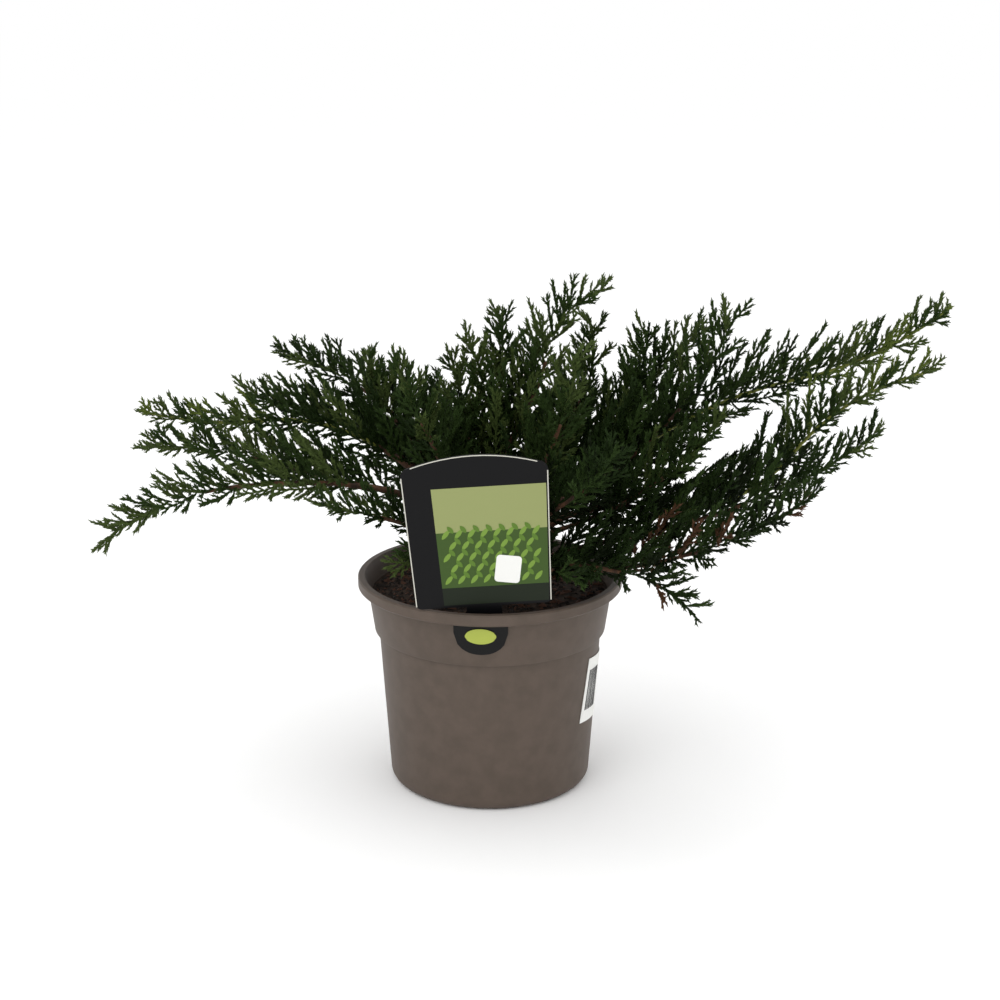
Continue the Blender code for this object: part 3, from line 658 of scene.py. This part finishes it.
def bark_tube(centres, radii, sides, relief, seed):
    """Points and faces of a limb whose surface carries long ridges of bark."""
    points = []
    across = None
    travelled = 0.0
    for i, centre in enumerate(centres):
        ahead = (centres[min(i + 1, len(centres) - 1)] - centres[max(i - 1, 0)]).normalized()
        across = ahead.orthogonal() if across is None else across
        across = (across - ahead * across.dot(ahead)).normalized()
        other = ahead.cross(across)
        travelled += (centre - centres[max(i - 1, 0)]).length
        for k in range(sides):
            angle = 2 * math.pi * k / sides
            grain = Vector((math.cos(angle) * GRAIN_ROUND + seed, math.sin(angle) * GRAIN_ROUND,
                            travelled * GRAIN_ALONG))
            radius = radii[i] * (1 + relief * noise.noise(grain))
            points.append(centre + (across * math.cos(angle) + other * math.sin(angle)) * radius)
    faces = [tuple(reversed(range(sides)))]
    for i in range(len(centres) - 1):
        for k in range(sides):
            j = (k + 1) % sides
            faces.append((i * sides + k, i * sides + j, (i + 1) * sides + j, (i + 1) * sides + k))
    faces.append(tuple(range(len(points) - sides, len(points))))
    return points, faces


print("faces of a tube with two rings:", len(bark_tube([UP * 0, UP], (1, 1), 8, 0.1, 0)[1]))

# %% The stem
STEM_SIDES = 40
STEM_STEPS = 34
STEM_RELIEF = 0.16
STEM_SEED = 3.0
STEM_FOOT_GAP = 0.4
STEM_TRIM = 1.0
FLARE_HEIGHT = 7.0

stem_rise = (STEM_TOP_Z - COMPOST_Z - STEM_TRIM) / STEM_STEPS
stem_rings = [COMPOST_Z + STEM_FOOT_GAP + i * stem_rise for i in range(STEM_STEPS + 1)]
flare = [max(0.0, 1 - (z - COMPOST_Z) / FLARE_HEIGHT) * (STEM_FOOT_R - STEM_R) for z in stem_rings]
stem_radii = [stem_radius(z) + extra for z, extra in zip(stem_rings, flare)]
stem_line = [Vector((0, 0, z)) for z in stem_rings]
stem = add_piece("stem_bark", *bark_tube(stem_line, stem_radii, STEM_SIDES, STEM_RELIEF, STEM_SEED),
                 stem_bark)
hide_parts("stem")
print("stem faces:", len(stem.data.polygons))

# %% The limbs' bark
LIMB_SIDES = 10
LIMB_RING_GAP = 2.6
LIMB_RELIEF = 0.34
LIMB_SEED = 10.0
BARK_INSET = 3.0
BARK_SINK = 2.0
FOOT_SWELL = 1.15
GROWING = ("right_whip", "right_mid", "left_whip")
WOODY_SHARE = 0.55
WOODY_SHARE_GROWING = 0.15


def woody_length(limb):
    """How far along a limb its bark reaches before the green shoot starts."""
    share = WOODY_SHARE_GROWING if limb.name in GROWING else WOODY_SHARE
    return limb.bare + share * (limb.length - limb.bare)


points = []
faces = []
for number, limb in enumerate(LIMBS):
    woody = woody_length(limb)
    rings = round(woody / LIMB_RING_GAP)
    centres = [along(paths[limb.name], woody * i / rings, limb.length)[0] for i in range(rings + 1)]
    inward = Vector((-centres[0].x, -centres[0].y, 0))
    sunk = centres[0] - UP * BARK_SINK
    inset = centres[0] + inward.normalized() * BARK_INSET
    centres.insert(0, inset if inward.length > BARK_INSET else sunk)
    radii = [BOUGH_FOOT_R * FOOT_SWELL]
    for i in range(rings + 1):
        place = woody * i / rings
        thick = interpolate((BOUGH_FOOT_R, BOUGH_TIP_R), place / limb.bare)
        thin = interpolate((BOUGH_TIP_R, TWIG_TIP_R), (place - limb.bare) / (limb.length - limb.bare))
        radii.append(thick if place < limb.bare else thin)
    shape, sides = bark_tube(centres, radii, LIMB_SIDES, LIMB_RELIEF, LIMB_SEED + number)
    add_shape(points, faces, shape, sides)
limb_bark = add_piece("limb_bark", points, faces, stem_bark)
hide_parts(*[name for name in frame["nodes"] if name.endswith("_bough")])
print("bark faces:", len(faces))

# %% [markdown]
# This year's wood hasn't made bark yet. On three of the long limbs, which still grow, the bark
# gives way to a yellow-green shoot that runs nearly to the tip. A smooth rod would look moulded,
# so the shoot is the same tube as the bark, with slighter relief and a plain colour.

# %% Green shoots on the limbs that still grow
SHOOT_SIDES = 8
SHOOT_RING_GAP = 4.0
SHOOT_RELIEF = 0.1
SHOOT_TIP_GAP = 6.0
SHOOT_OVERLAP = 2.0
SHOOT_SEED = 50.0

shoot_green = plain("yellow_green_shoot", "#6F7430", 0.55, 0.2)
points = []
faces = []
for number, limb in enumerate(LIMBS):
    if limb.name not in GROWING:
        continue
    start = woody_length(limb) - SHOOT_OVERLAP
    rings = round((limb.length - start) / SHOOT_RING_GAP)
    reach = limb.length - SHOOT_TIP_GAP - start
    places = [start + reach * i / rings for i in range(rings + 1)]
    centres = [along(paths[limb.name], place, limb.length)[0] for place in places]
    shares = [(place - limb.bare) / (limb.length - limb.bare) for place in places]
    radii = [interpolate((BOUGH_TIP_R, TWIG_TIP_R), share) for share in shares]
    shape, sides = bark_tube(centres, radii, SHOOT_SIDES, SHOOT_RELIEF, SHOOT_SEED + number)
    add_shape(points, faces, shape, sides)
add_piece("green_shoots", points, faces, shoot_green)
print("shoot faces:", len(faces))

# %% [markdown]
# Foliage grows by a simple habit. Sprays leave the limb turn about and bend forwards and up, short
# twigs leave each spray in two ranks, and tiny scale leaves clothe the twigs. The first steps are
# lines in space. Each line has to stay in its own limb's room, which keeps the sky gaps open.

# %% The rule for sprays
SPRAY_GAP = 5.4
SPRAY_ANGLE = 46.0
SPRAY_LIFT = 0.55
SPRAY_RISE = 0.6
SPRAY_FORWARD = 0.5
SPRAY_STEPS = 5
SPRAY_TAPER = 0.74
SPRAY_ROLLS = (44, -44, 98, 4, -98, -4)
ROLL_CHANCE = 12
ANGLE_CHANCE = 7
STEEP = 0.2
SHORTEST_SPRAY = 14.0
CELL_SHARE = 0.62
CELL_MARGIN = 2.5
CELL_SLACK = 6.0
COMPOST_CLEAR = 4.0
RIM_CLEAR = 3.0
MOUTH_CLEAR = 8.0
STEM_TOP_CLEAR = 3.0
STEM_SIDE_CLEAR = 2.0
LABEL_SIDE_CLEAR = 6.0
LABEL_BACK_CLEAR = 8.0
LABEL_CLEAR_HEIGHT = 120.0

Spray = namedtuple("Spray", "limb index share line side length")
room = np.array([[tuple(point) for point in path] for path in paths.values()])
room_names = list(paths)
REACH_MARGIN = 2.0
LEAST = Vector(cad_box[0]) / MM
MOST = Vector(cad_box[1]) / MM


def clear_place(point):
    """True if a place is inside the plant's reach and clear of pot, compost, stem and label."""
    radius = math.hypot(point.x, point.y)
    if any(point[i] < LEAST[i] - REACH_MARGIN or point[i] > MOST[i] + REACH_MARGIN for i in range(3)):
        return False
    near_rim = point.z < POT_HEIGHT + RIM_CLEAR and radius > RIM_MOUTH_R - MOUTH_CLEAR
    if point.z < COMPOST_Z + COMPOST_CLEAR or near_rim:
        return False
    if point.z < STEM_TOP_Z + STEM_TOP_CLEAR and radius < STEM_FOOT_R + STEM_SIDE_CLEAR:
        return False
    beside = abs(point.x - LABEL_X) < LABEL_TOP_WIDTH / 2 + LABEL_SIDE_CLEAR
    before = point.y < LABEL_Y + LABEL_BACK_CLEAR
    return not (beside and before and point.z < LABEL_FOOT_Z + LABEL_CLEAR_HEIGHT)


def open_place(name, point):
    """True if a place is clear and not well inside another limb's room."""
    if not clear_place(point):
        return False
    gaps = np.linalg.norm(room - np.array(tuple(point)), axis=2).min(axis=1)
    own = room_names.index(name)
    return gaps[own] * CELL_SHARE + CELL_MARGIN < np.delete(gaps, own).min() + CELL_SLACK


def spray_heading(limb, index, ahead):
    """The outward direction of a spray: turn about on either side of the twig and above it."""
    chance = random.Random(limb.name + str(index))
    level = ahead.cross(UP)
    if level.length < STEEP:
        level = Vector((math.sin(math.radians(limb.bearing)), -math.cos(math.radians(limb.bearing)), 0))
    level.normalize()
    above = level.cross(ahead).normalized()
    roll = SPRAY_ROLLS[index % len(SPRAY_ROLLS)] + chance.uniform(-ROLL_CHANCE, ROLL_CHANCE)
    out = above * math.cos(math.radians(roll)) + level * math.sin(math.radians(roll))
    angle = math.radians(SPRAY_ANGLE + chance.uniform(-ANGLE_CHANCE, ANGLE_CHANCE))
    return (ahead * math.cos(angle) + out * math.sin(angle)).normalized()


def spray_line(root, ahead, heading, length, steps):
    """The middle line of a spray, which curves forwards and up as it grows."""
    points = [root.copy()]
    for i in range(steps):
        now = heading + (UP * SPRAY_RISE + ahead * SPRAY_FORWARD) * (SPRAY_LIFT * (i + 0.5) / steps)
        points.append(points[-1] + now.normalized() * (length / steps))
    return points


print("room samples:", room.shape)

# %% Grow the sprays
TIP_SHARE = 0.34
SHORTER = 0.86
FIRST_SPRAY = 0.4
SPRAY_START = 2.0
SPRAY_END = 8.0
LEAST_GROWTH = 0.72


def tip_length(limb):
    """The length of the spray that ends a limb."""
    return min(TIP_SHARE * (limb.length - limb.bare), limb.spray)


def sprays_of(limb):
    """The sprays of one limb, from the end of its bare wood to its tip."""
    path = paths[limb.name]
    chance = random.Random("sprays" + limb.name)
    leafy = limb.length - limb.bare
    count = round(leafy / SPRAY_GAP)
    for index in range(count):
        share = (index + FIRST_SPRAY) / count
        place = limb.bare + SPRAY_START + share * (leafy - SPRAY_END)
        root, ahead = along(path, place, limb.length)
        heading = spray_heading(limb, index, ahead)
        side = ahead.cross(heading).normalized()
        length = limb.spray * (1 - SPRAY_TAPER * share) * chance.uniform(LEAST_GROWTH, 1.0)
        while length >= SHORTEST_SPRAY:
            line = spray_line(root, ahead, heading, length, SPRAY_STEPS)
            if open_place(limb.name, line[3]) and open_place(limb.name, line[-1]):
                yield Spray(limb, index, share, line, side, length)
                break
            length *= SHORTER
    end = tip_length(limb)
    places = [limb.length - end * (1 - i / SPRAY_STEPS) for i in range(SPRAY_STEPS + 1)]
    line = [along(path, place, limb.length)[0] for place in places]
    level = (line[-1] - line[0]).cross(UP)
    side = level.normalized() if level.length > 2 else Vector((0, 1, 0))
    yield Spray(limb, count, 1.0, line, side, end)


sprays = [spray for limb in LIMBS for spray in sprays_of(limb)]
print("sprays:", len(sprays), "length in mm:", round(sum(s.length for s in sprays)))

# %% [markdown]
# The colour differs from spray to spray, not within one. Four of the colours are one green with
# light and shade painted in: sprays near the stem and at the lower right tend to be darker, as
# painted shade, and those in the centre and at the left catch more light, as painted light. A
# seeded chance also varies the tone at random. Some on the outer half of the growing limbs are
# yellow green, and a few at the lower right have died and turned brown. Each spray is therefore
# dealt to one plain colour.

# %% Deal the sprays to colours
# Shade and the next two colours are painted shade and painted light of one leaf green, and pale is its
# brightest painted light; fresh and dead are the leaves' own colours.
LEAF_COLOURS_AND_PAINTED_LIGHT = {
    "shade": "#131D09",
    "deep": "#1C2B0E",
    "grey": "#2A3B18",
    "pale": "#414F26",
    "fresh": "#55632A",
    "dead": "#4A3322",
}
# These lower right limbs are given painted shade.
PAINTED_SHADE_LIMBS = ("right_under", "right_droop", "right_low", "front_low", "front_right")
DEAD_LIMBS = ("right_droop", "right_under", "front_low")
# Sunlit groups and the limb below are given painted light.
SUNLIT = {"centre": 0.2, "left": 0.09}
LIGHT_LIMBS = ("left_low",)
DEAD_CHANCE = 0.06
FRESH_CHANCE = 0.35
FRESH_FROM = 0.5
# Painted light along a limb: darker at its foot as painted shade, lighter towards its tip; the chance below
# gives random tone.
PAINTED_LIGHT_AT_FOOT = 0.34
PAINTED_LIGHT_TOWARDS_TIP = 0.3
TONE_CHANCE = 0.5
PAINTED_LIGHT_PER_LIMB = 0.16
# These four tones run from painted shade to painted light.
PAINTED_LIGHT_TONES = ("shade", "deep", "grey", "pale")
TONES_PER_PAINTED_LIGHT = 4.4


def kind_of(spray):
    """The colour that a spray is dealt, from where it grows and a seeded chance: where it grows sets its
    painted light and shade.
    """
    chance = random.Random("kind" + spray.limb.name + str(spray.index)).random()
    if spray.limb.name in DEAD_LIMBS and chance > 1 - DEAD_CHANCE:
        return "dead"
    if spray.limb.name in GROWING and spray.share > FRESH_FROM and chance < FRESH_CHANCE:
        return "fresh"
    # Painted shade near the limb's foot, painted light towards the tip, and random tone by chance.
    painted_light = PAINTED_LIGHT_AT_FOOT + PAINTED_LIGHT_TOWARDS_TIP * spray.share + TONE_CHANCE * (chance - 0.5)
    painted_light += SUNLIT.get(spray.limb.group, 0.0)
    # Painted shade on the lower right limbs, painted light on left_low.
    if spray.limb.name in PAINTED_SHADE_LIMBS:
        painted_light -= PAINTED_LIGHT_PER_LIMB
    if spray.limb.name in LIGHT_LIMBS:
        painted_light += PAINTED_LIGHT_PER_LIMB
    return PAINTED_LIGHT_TONES[min(len(PAINTED_LIGHT_TONES) - 1, max(0, int(painted_light * TONES_PER_PAINTED_LIGHT)))]


dealt = {}
for spray in sprays:
    dealt.setdefault((kind_of(spray), spray.limb.group), []).append(spray)
for kind in LEAF_COLOURS_AND_PAINTED_LIGHT:
    print(kind, sum(len(some) for (name, _), some in dealt.items() if name == kind))

# %% [markdown]
# A spray is built like a loose feather. Twigs leave it in two ranks, each turned out of the plane
# by chance, and the longer ones carry two twigs of their own. They get shorter towards the spray's
# end and again towards the limb's tip, which makes the ends slender. A twig whose tip would leave
# the plant's reach, or come too near the pot, the stem or the label, is left out. Plain lines are
# enough here, because the next step gives them a thin core and their leaves.

# %% The twigs of a spray
TWIG_GAP = 3.6
TWIG_LONG = 17.0
TWIG_SHORT = 7.0
TIP_SLENDER = 0.4
TWIG_ANGLE = 38.0
SIDE_TWIG = 5.5
SIDE_TWIG_GROWTH = (0.8, 1.3)
FORKED_TWIG = 9.0
FIRST_FORK = 0.7
FORK_ON = 0.8
FORK_OUT = 0.3
FORK_AHEAD = 0.3
FEWEST_TWIGS = 3
FIRST_TWIG = 0.6
TWIG_GROWTH = (0.7, 1.1)
TWIG_ANGLE_CHANCE = 8
TWIG_SPREAD = 0.9
TWIG_BEND = 0.35
TWIG_RISE = 0.4


def bent_line(root, heading, lift, length):
    """A short twig in two straight steps that turns a little towards lift."""
    middle = root + heading * (length / 2)
    return [root, middle, middle + (heading + lift * TWIG_BEND).normalized() * (length / 2)]


def twig_lines(spray):
    """All lines that carry leaves: the spray itself, its two ranks of twigs, and their twigs."""
    chance = random.Random("twigs" + spray.limb.name + str(spray.index))
    lines = [spray.line]
    count = max(FEWEST_TWIGS, round(spray.length / TWIG_GAP))
    for k in range(count):
        place = (k + FIRST_TWIG) / (count + FIRST_TWIG)
        root, ahead = along(spray.line, place * spray.length, spray.length)
        aside = ahead.cross(spray.side) * chance.uniform(-TWIG_SPREAD, TWIG_SPREAD)
        out = spray.side * (1 if k % 2 else -1) + aside
        angle = math.radians(TWIG_ANGLE + chance.uniform(-TWIG_ANGLE_CHANCE, TWIG_ANGLE_CHANCE))
        heading = (ahead * math.cos(angle) + out.normalized() * math.sin(angle)).normalized()
        slender = 1 - TIP_SLENDER * spray.share
        length = interpolate((TWIG_LONG, TWIG_SHORT), place) * slender * chance.uniform(*TWIG_GROWTH)
        line = bent_line(root, heading, ahead + UP * TWIG_RISE, length)
        if not clear_place(line[-1]):
            continue
        lines.append(line)
        if length > FORKED_TWIG:
            early = root + (line[1] - root) * FIRST_FORK
            for foot, sign in ((early, 1), (line[1], -1)):
                fork = heading * FORK_ON + out.normalized() * FORK_OUT * sign + ahead * FORK_AHEAD
                reach = SIDE_TWIG * chance.uniform(*SIDE_TWIG_GROWTH)
                lines.append(bent_line(foot, fork.normalized(), heading, reach))
    return lines


sample = twig_lines(sprays[0])
print("lines in the first spray:", len(sample))

# %% [markdown]
# A branchlet is clothed in overlapping awl leaves a few millimetres long. Here each is a cone of
# three sides, made a little long so that fewer of them cover a twig. They are too many to place
# one by one, so a Geometry Nodes tree does it. It turns the edges into curves, sets a leaf at even
# steps, turned by the golden angle, and realizes them into one mesh.

# %% The leaf tree
LEAF_STEP = 0.95
LEAF_LENGTH = 3.3
LEAF_WIDTH = 0.8
LEAF_LEAN = 27.0
GOLDEN_ANGLE = 137.5
CORE_RADIUS = 0.6
SMALLEST_LEAF = 0.75
LARGEST_LEAF = 1.15


def leaf_tree():
    """The node tree that clothes a mesh of bare edges with leaves."""
    tree = bpy.data.node_groups.new("scale_leaves", "GeometryNodeTree")
    face = tree.interface
    face.new_socket("Twigs", in_out="INPUT", socket_type="NodeSocketGeometry")
    face.new_socket("Leaf step", in_out="INPUT", socket_type="NodeSocketFloat")
    face.new_socket("Leaf length", in_out="INPUT", socket_type="NodeSocketFloat")
    face.new_socket("Finish", in_out="INPUT", socket_type="NodeSocketMaterial")
    face.new_socket("Leaves", in_out="OUTPUT", socket_type="NodeSocketGeometry")
    given = add_node(tree, "NodeGroupInput")
    curves = add_node(tree, "GeometryNodeMeshToCurve", links={"Mesh": given.outputs["Twigs"]})
    steps = add_node(tree, "GeometryNodeResampleCurve", {"mode": "LENGTH"},
                     links={"Curve": curves.outputs["Curve"], "Length": given.outputs["Leaf step"]})
    leaf = add_node(tree, "GeometryNodeMeshCone", {"fill_type": "NONE"},
                    {"Vertices": 3, "Radius Top": 0.0, "Radius Bottom": LEAF_WIDTH * MM},
                    {"Depth": given.outputs["Leaf length"]})
    tangent = add_node(tree, "GeometryNodeInputTangent")
    aligned = add_node(tree, "FunctionNodeAlignRotationToVector", {"axis": "Z"},
                       links={"Vector": tangent.outputs["Tangent"]})
    index = add_node(tree, "GeometryNodeInputIndex")
    turn = add_node(tree, "ShaderNodeMath", {"operation": "MULTIPLY"},
                    links={0: index.outputs["Index"]})
    turn.inputs[1].default_value = math.radians(GOLDEN_ANGLE)
    spin = add_node(tree, "ShaderNodeCombineXYZ", values={"X": math.radians(LEAF_LEAN)},
                    links={"Z": turn.outputs["Value"]})
    lean = add_node(tree, "FunctionNodeEulerToRotation", links={"Euler": spin.outputs["Vector"]})
    posed = add_node(tree, "FunctionNodeRotateRotation", {"rotation_space": "LOCAL"},
                     links={"Rotation": aligned.outputs["Rotation"], "Rotate By": lean.outputs["Rotation"]})
    size = add_node(tree, "FunctionNodeRandomValue", {"data_type": "FLOAT"})
    size.inputs[2].default_value = SMALLEST_LEAF
    size.inputs[3].default_value = LARGEST_LEAF
    placed = add_node(tree, "GeometryNodeInstanceOnPoints",
                      links={"Points": steps.outputs["Curve"], "Instance": leaf.outputs["Mesh"],
                             "Rotation": posed.outputs["Rotation"], "Scale": size.outputs[1]})
    ring = add_node(tree, "GeometryNodeCurvePrimitiveCircle",
                    values={"Resolution": 3, "Radius": CORE_RADIUS * MM})
    core = add_node(tree, "GeometryNodeCurveToMesh",
                    links={"Curve": curves.outputs["Curve"], "Profile Curve": ring.outputs["Curve"]})
    joined = add_node(tree, "GeometryNodeJoinGeometry")
    tree.links.new(placed.outputs["Instances"], joined.inputs[0])
    tree.links.new(core.outputs["Mesh"], joined.inputs[0])
    solid = add_node(tree, "GeometryNodeRealizeInstances", links={"Geometry": joined.outputs[0]})
    done = add_node(tree, "GeometryNodeSetMaterial",
                    links={"Geometry": solid.outputs["Geometry"], "Material": given.outputs["Finish"]})
    add_node(tree, "NodeGroupOutput", links={"Leaves": done.outputs["Geometry"]})
    return tree


leaves = leaf_tree()
sockets = {item.name: item.identifier for item in leaves.interface.items_tree}
print("leaf tree nodes:", len(leaves.nodes))

# %% Clothe the twigs
def leafy_piece(name, lines, material):
    """One mesh of leaves and twig cores on a set of lines."""
    points = []
    edges = []
    for line in lines:
        edges += [(len(points) + i, len(points) + i + 1) for i in range(len(line) - 1)]
        points += [p * MM for p in line]
    mesh = bpy.data.meshes.new(name)
    mesh.from_pydata(points, edges, [])
    piece = bpy.data.objects.new(name, mesh)
    bpy.context.scene.collection.objects.link(piece)
    grow = piece.modifiers.new("grow_leaves", "NODES")
    grow.node_group = leaves
    grow[sockets["Leaf step"]] = LEAF_STEP * MM
    grow[sockets["Leaf length"]] = LEAF_LENGTH * MM
    grow[sockets["Finish"]] = material
    depsgraph = bpy.context.evaluated_depsgraph_get()
    grown = bpy.data.meshes.new_from_object(piece.evaluated_get(depsgraph))
    piece.modifiers.clear()
    piece.data = grown
    return piece


# Four of these leaf materials are painted shade and painted light of one green; the fresh and dead ones are
# the leaves' own colours.
leaf_materials_with_painted_light = {}
for kind, colour in LEAF_COLOURS_AND_PAINTED_LIGHT.items():
    leaf_materials_with_painted_light[kind] = plain("juniper_leaf_" + kind, colour, 0.65, 0.1)
triangles = 0
largest = 0
for (kind, group), some in sorted(dealt.items()):
    lines = [line for spray in some for line in twig_lines(spray)]
    piece = leafy_piece("foliage_" + kind + "_" + group, lines, leaf_materials_with_painted_light[kind])
    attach(piece, "root")
    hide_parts(*sorted({spray.limb.name + "_foliage" for spray in some}))
    amount = sum(len(face.vertices) - 2 for face in piece.data.polygons)
    triangles += amount
    largest = max(largest, amount)
print("leaf triangles:", triangles, "largest piece:", largest)

# %% [markdown]
# The plant was photographed from a little above, cut out on white. A long lens looks at the pot's
# axis from the front. A pale floor takes a faint shadow, and three large soft lights, from the
# front on either side and from above, keep the shade open, as daylight under cloud does.

# %% Floor, lights and camera
CAMERA_DISTANCE = 1.3
CAMERA_PITCH = 16.05
CAMERA_LENS = 65.63
CAMERA_SHIFT = 0.010
AIM_HEIGHT = 0.2082
STUDIO_SIZE = 40
SKY_STRENGTH = 1.0

floor_material = plain("white_studio_floor", "#FFFFFF", 0.9, 0.0)
bpy.ops.mesh.primitive_plane_add(size=STUDIO_SIZE, location=(0, 0, 0))
floor = bpy.context.object
floor.name = "studio_floor"
floor.data.materials.append(floor_material)

world = bpy.data.worlds.new("cloudy_sky")
world.use_nodes = True
world.node_tree.nodes["Background"].inputs["Color"].default_value = (1, 1, 1, 1)
world.node_tree.nodes["Background"].inputs["Strength"].default_value = SKY_STRENGTH
bpy.context.scene.world = world


def soft_light(name, place, size, power):
    """A square area light that faces the plant."""
    lamp = bpy.data.lights.new(name, "AREA")
    lamp.size = size
    lamp.energy = power
    light = bpy.data.objects.new(name, lamp)
    light.location = place
    light.rotation_euler = (Vector((0, 0, AIM_HEIGHT)) - Vector(place)).to_track_quat("-Z", "Y").to_euler()
    bpy.context.scene.collection.objects.link(light)
    return light


soft_light("key_light", (-0.9, -1.3, 1.6), 1.2, 8)
soft_light("fill_light", (1.4, -1.0, 0.9), 1.4, 2)
soft_light("top_light", (0.2, 0.5, 1.9), 1.4, 6)

pitch = math.radians(CAMERA_PITCH)
lens = bpy.data.cameras.new("camera")
lens.lens = CAMERA_LENS
lens.shift_x = CAMERA_SHIFT
camera = bpy.data.objects.new("camera", lens)
camera.location = (0, -CAMERA_DISTANCE * math.cos(pitch), AIM_HEIGHT + CAMERA_DISTANCE * math.sin(pitch))
camera.rotation_euler = (math.radians(90) - pitch, 0, 0)
bpy.context.scene.collection.objects.link(camera)
bpy.context.scene.camera = camera
bpy.context.scene.view_settings.view_transform = "Standard"
print("camera at", tuple(round(v, 3) for v in camera.location))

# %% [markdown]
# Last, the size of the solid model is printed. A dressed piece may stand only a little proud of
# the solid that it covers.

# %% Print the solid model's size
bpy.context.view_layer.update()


def plain_lists(box):
    """A box of vectors as lists of plain numbers."""
    return [[float(value) for value in corner] for corner in box]


print("CAD box:", plain_lists(cad_box))
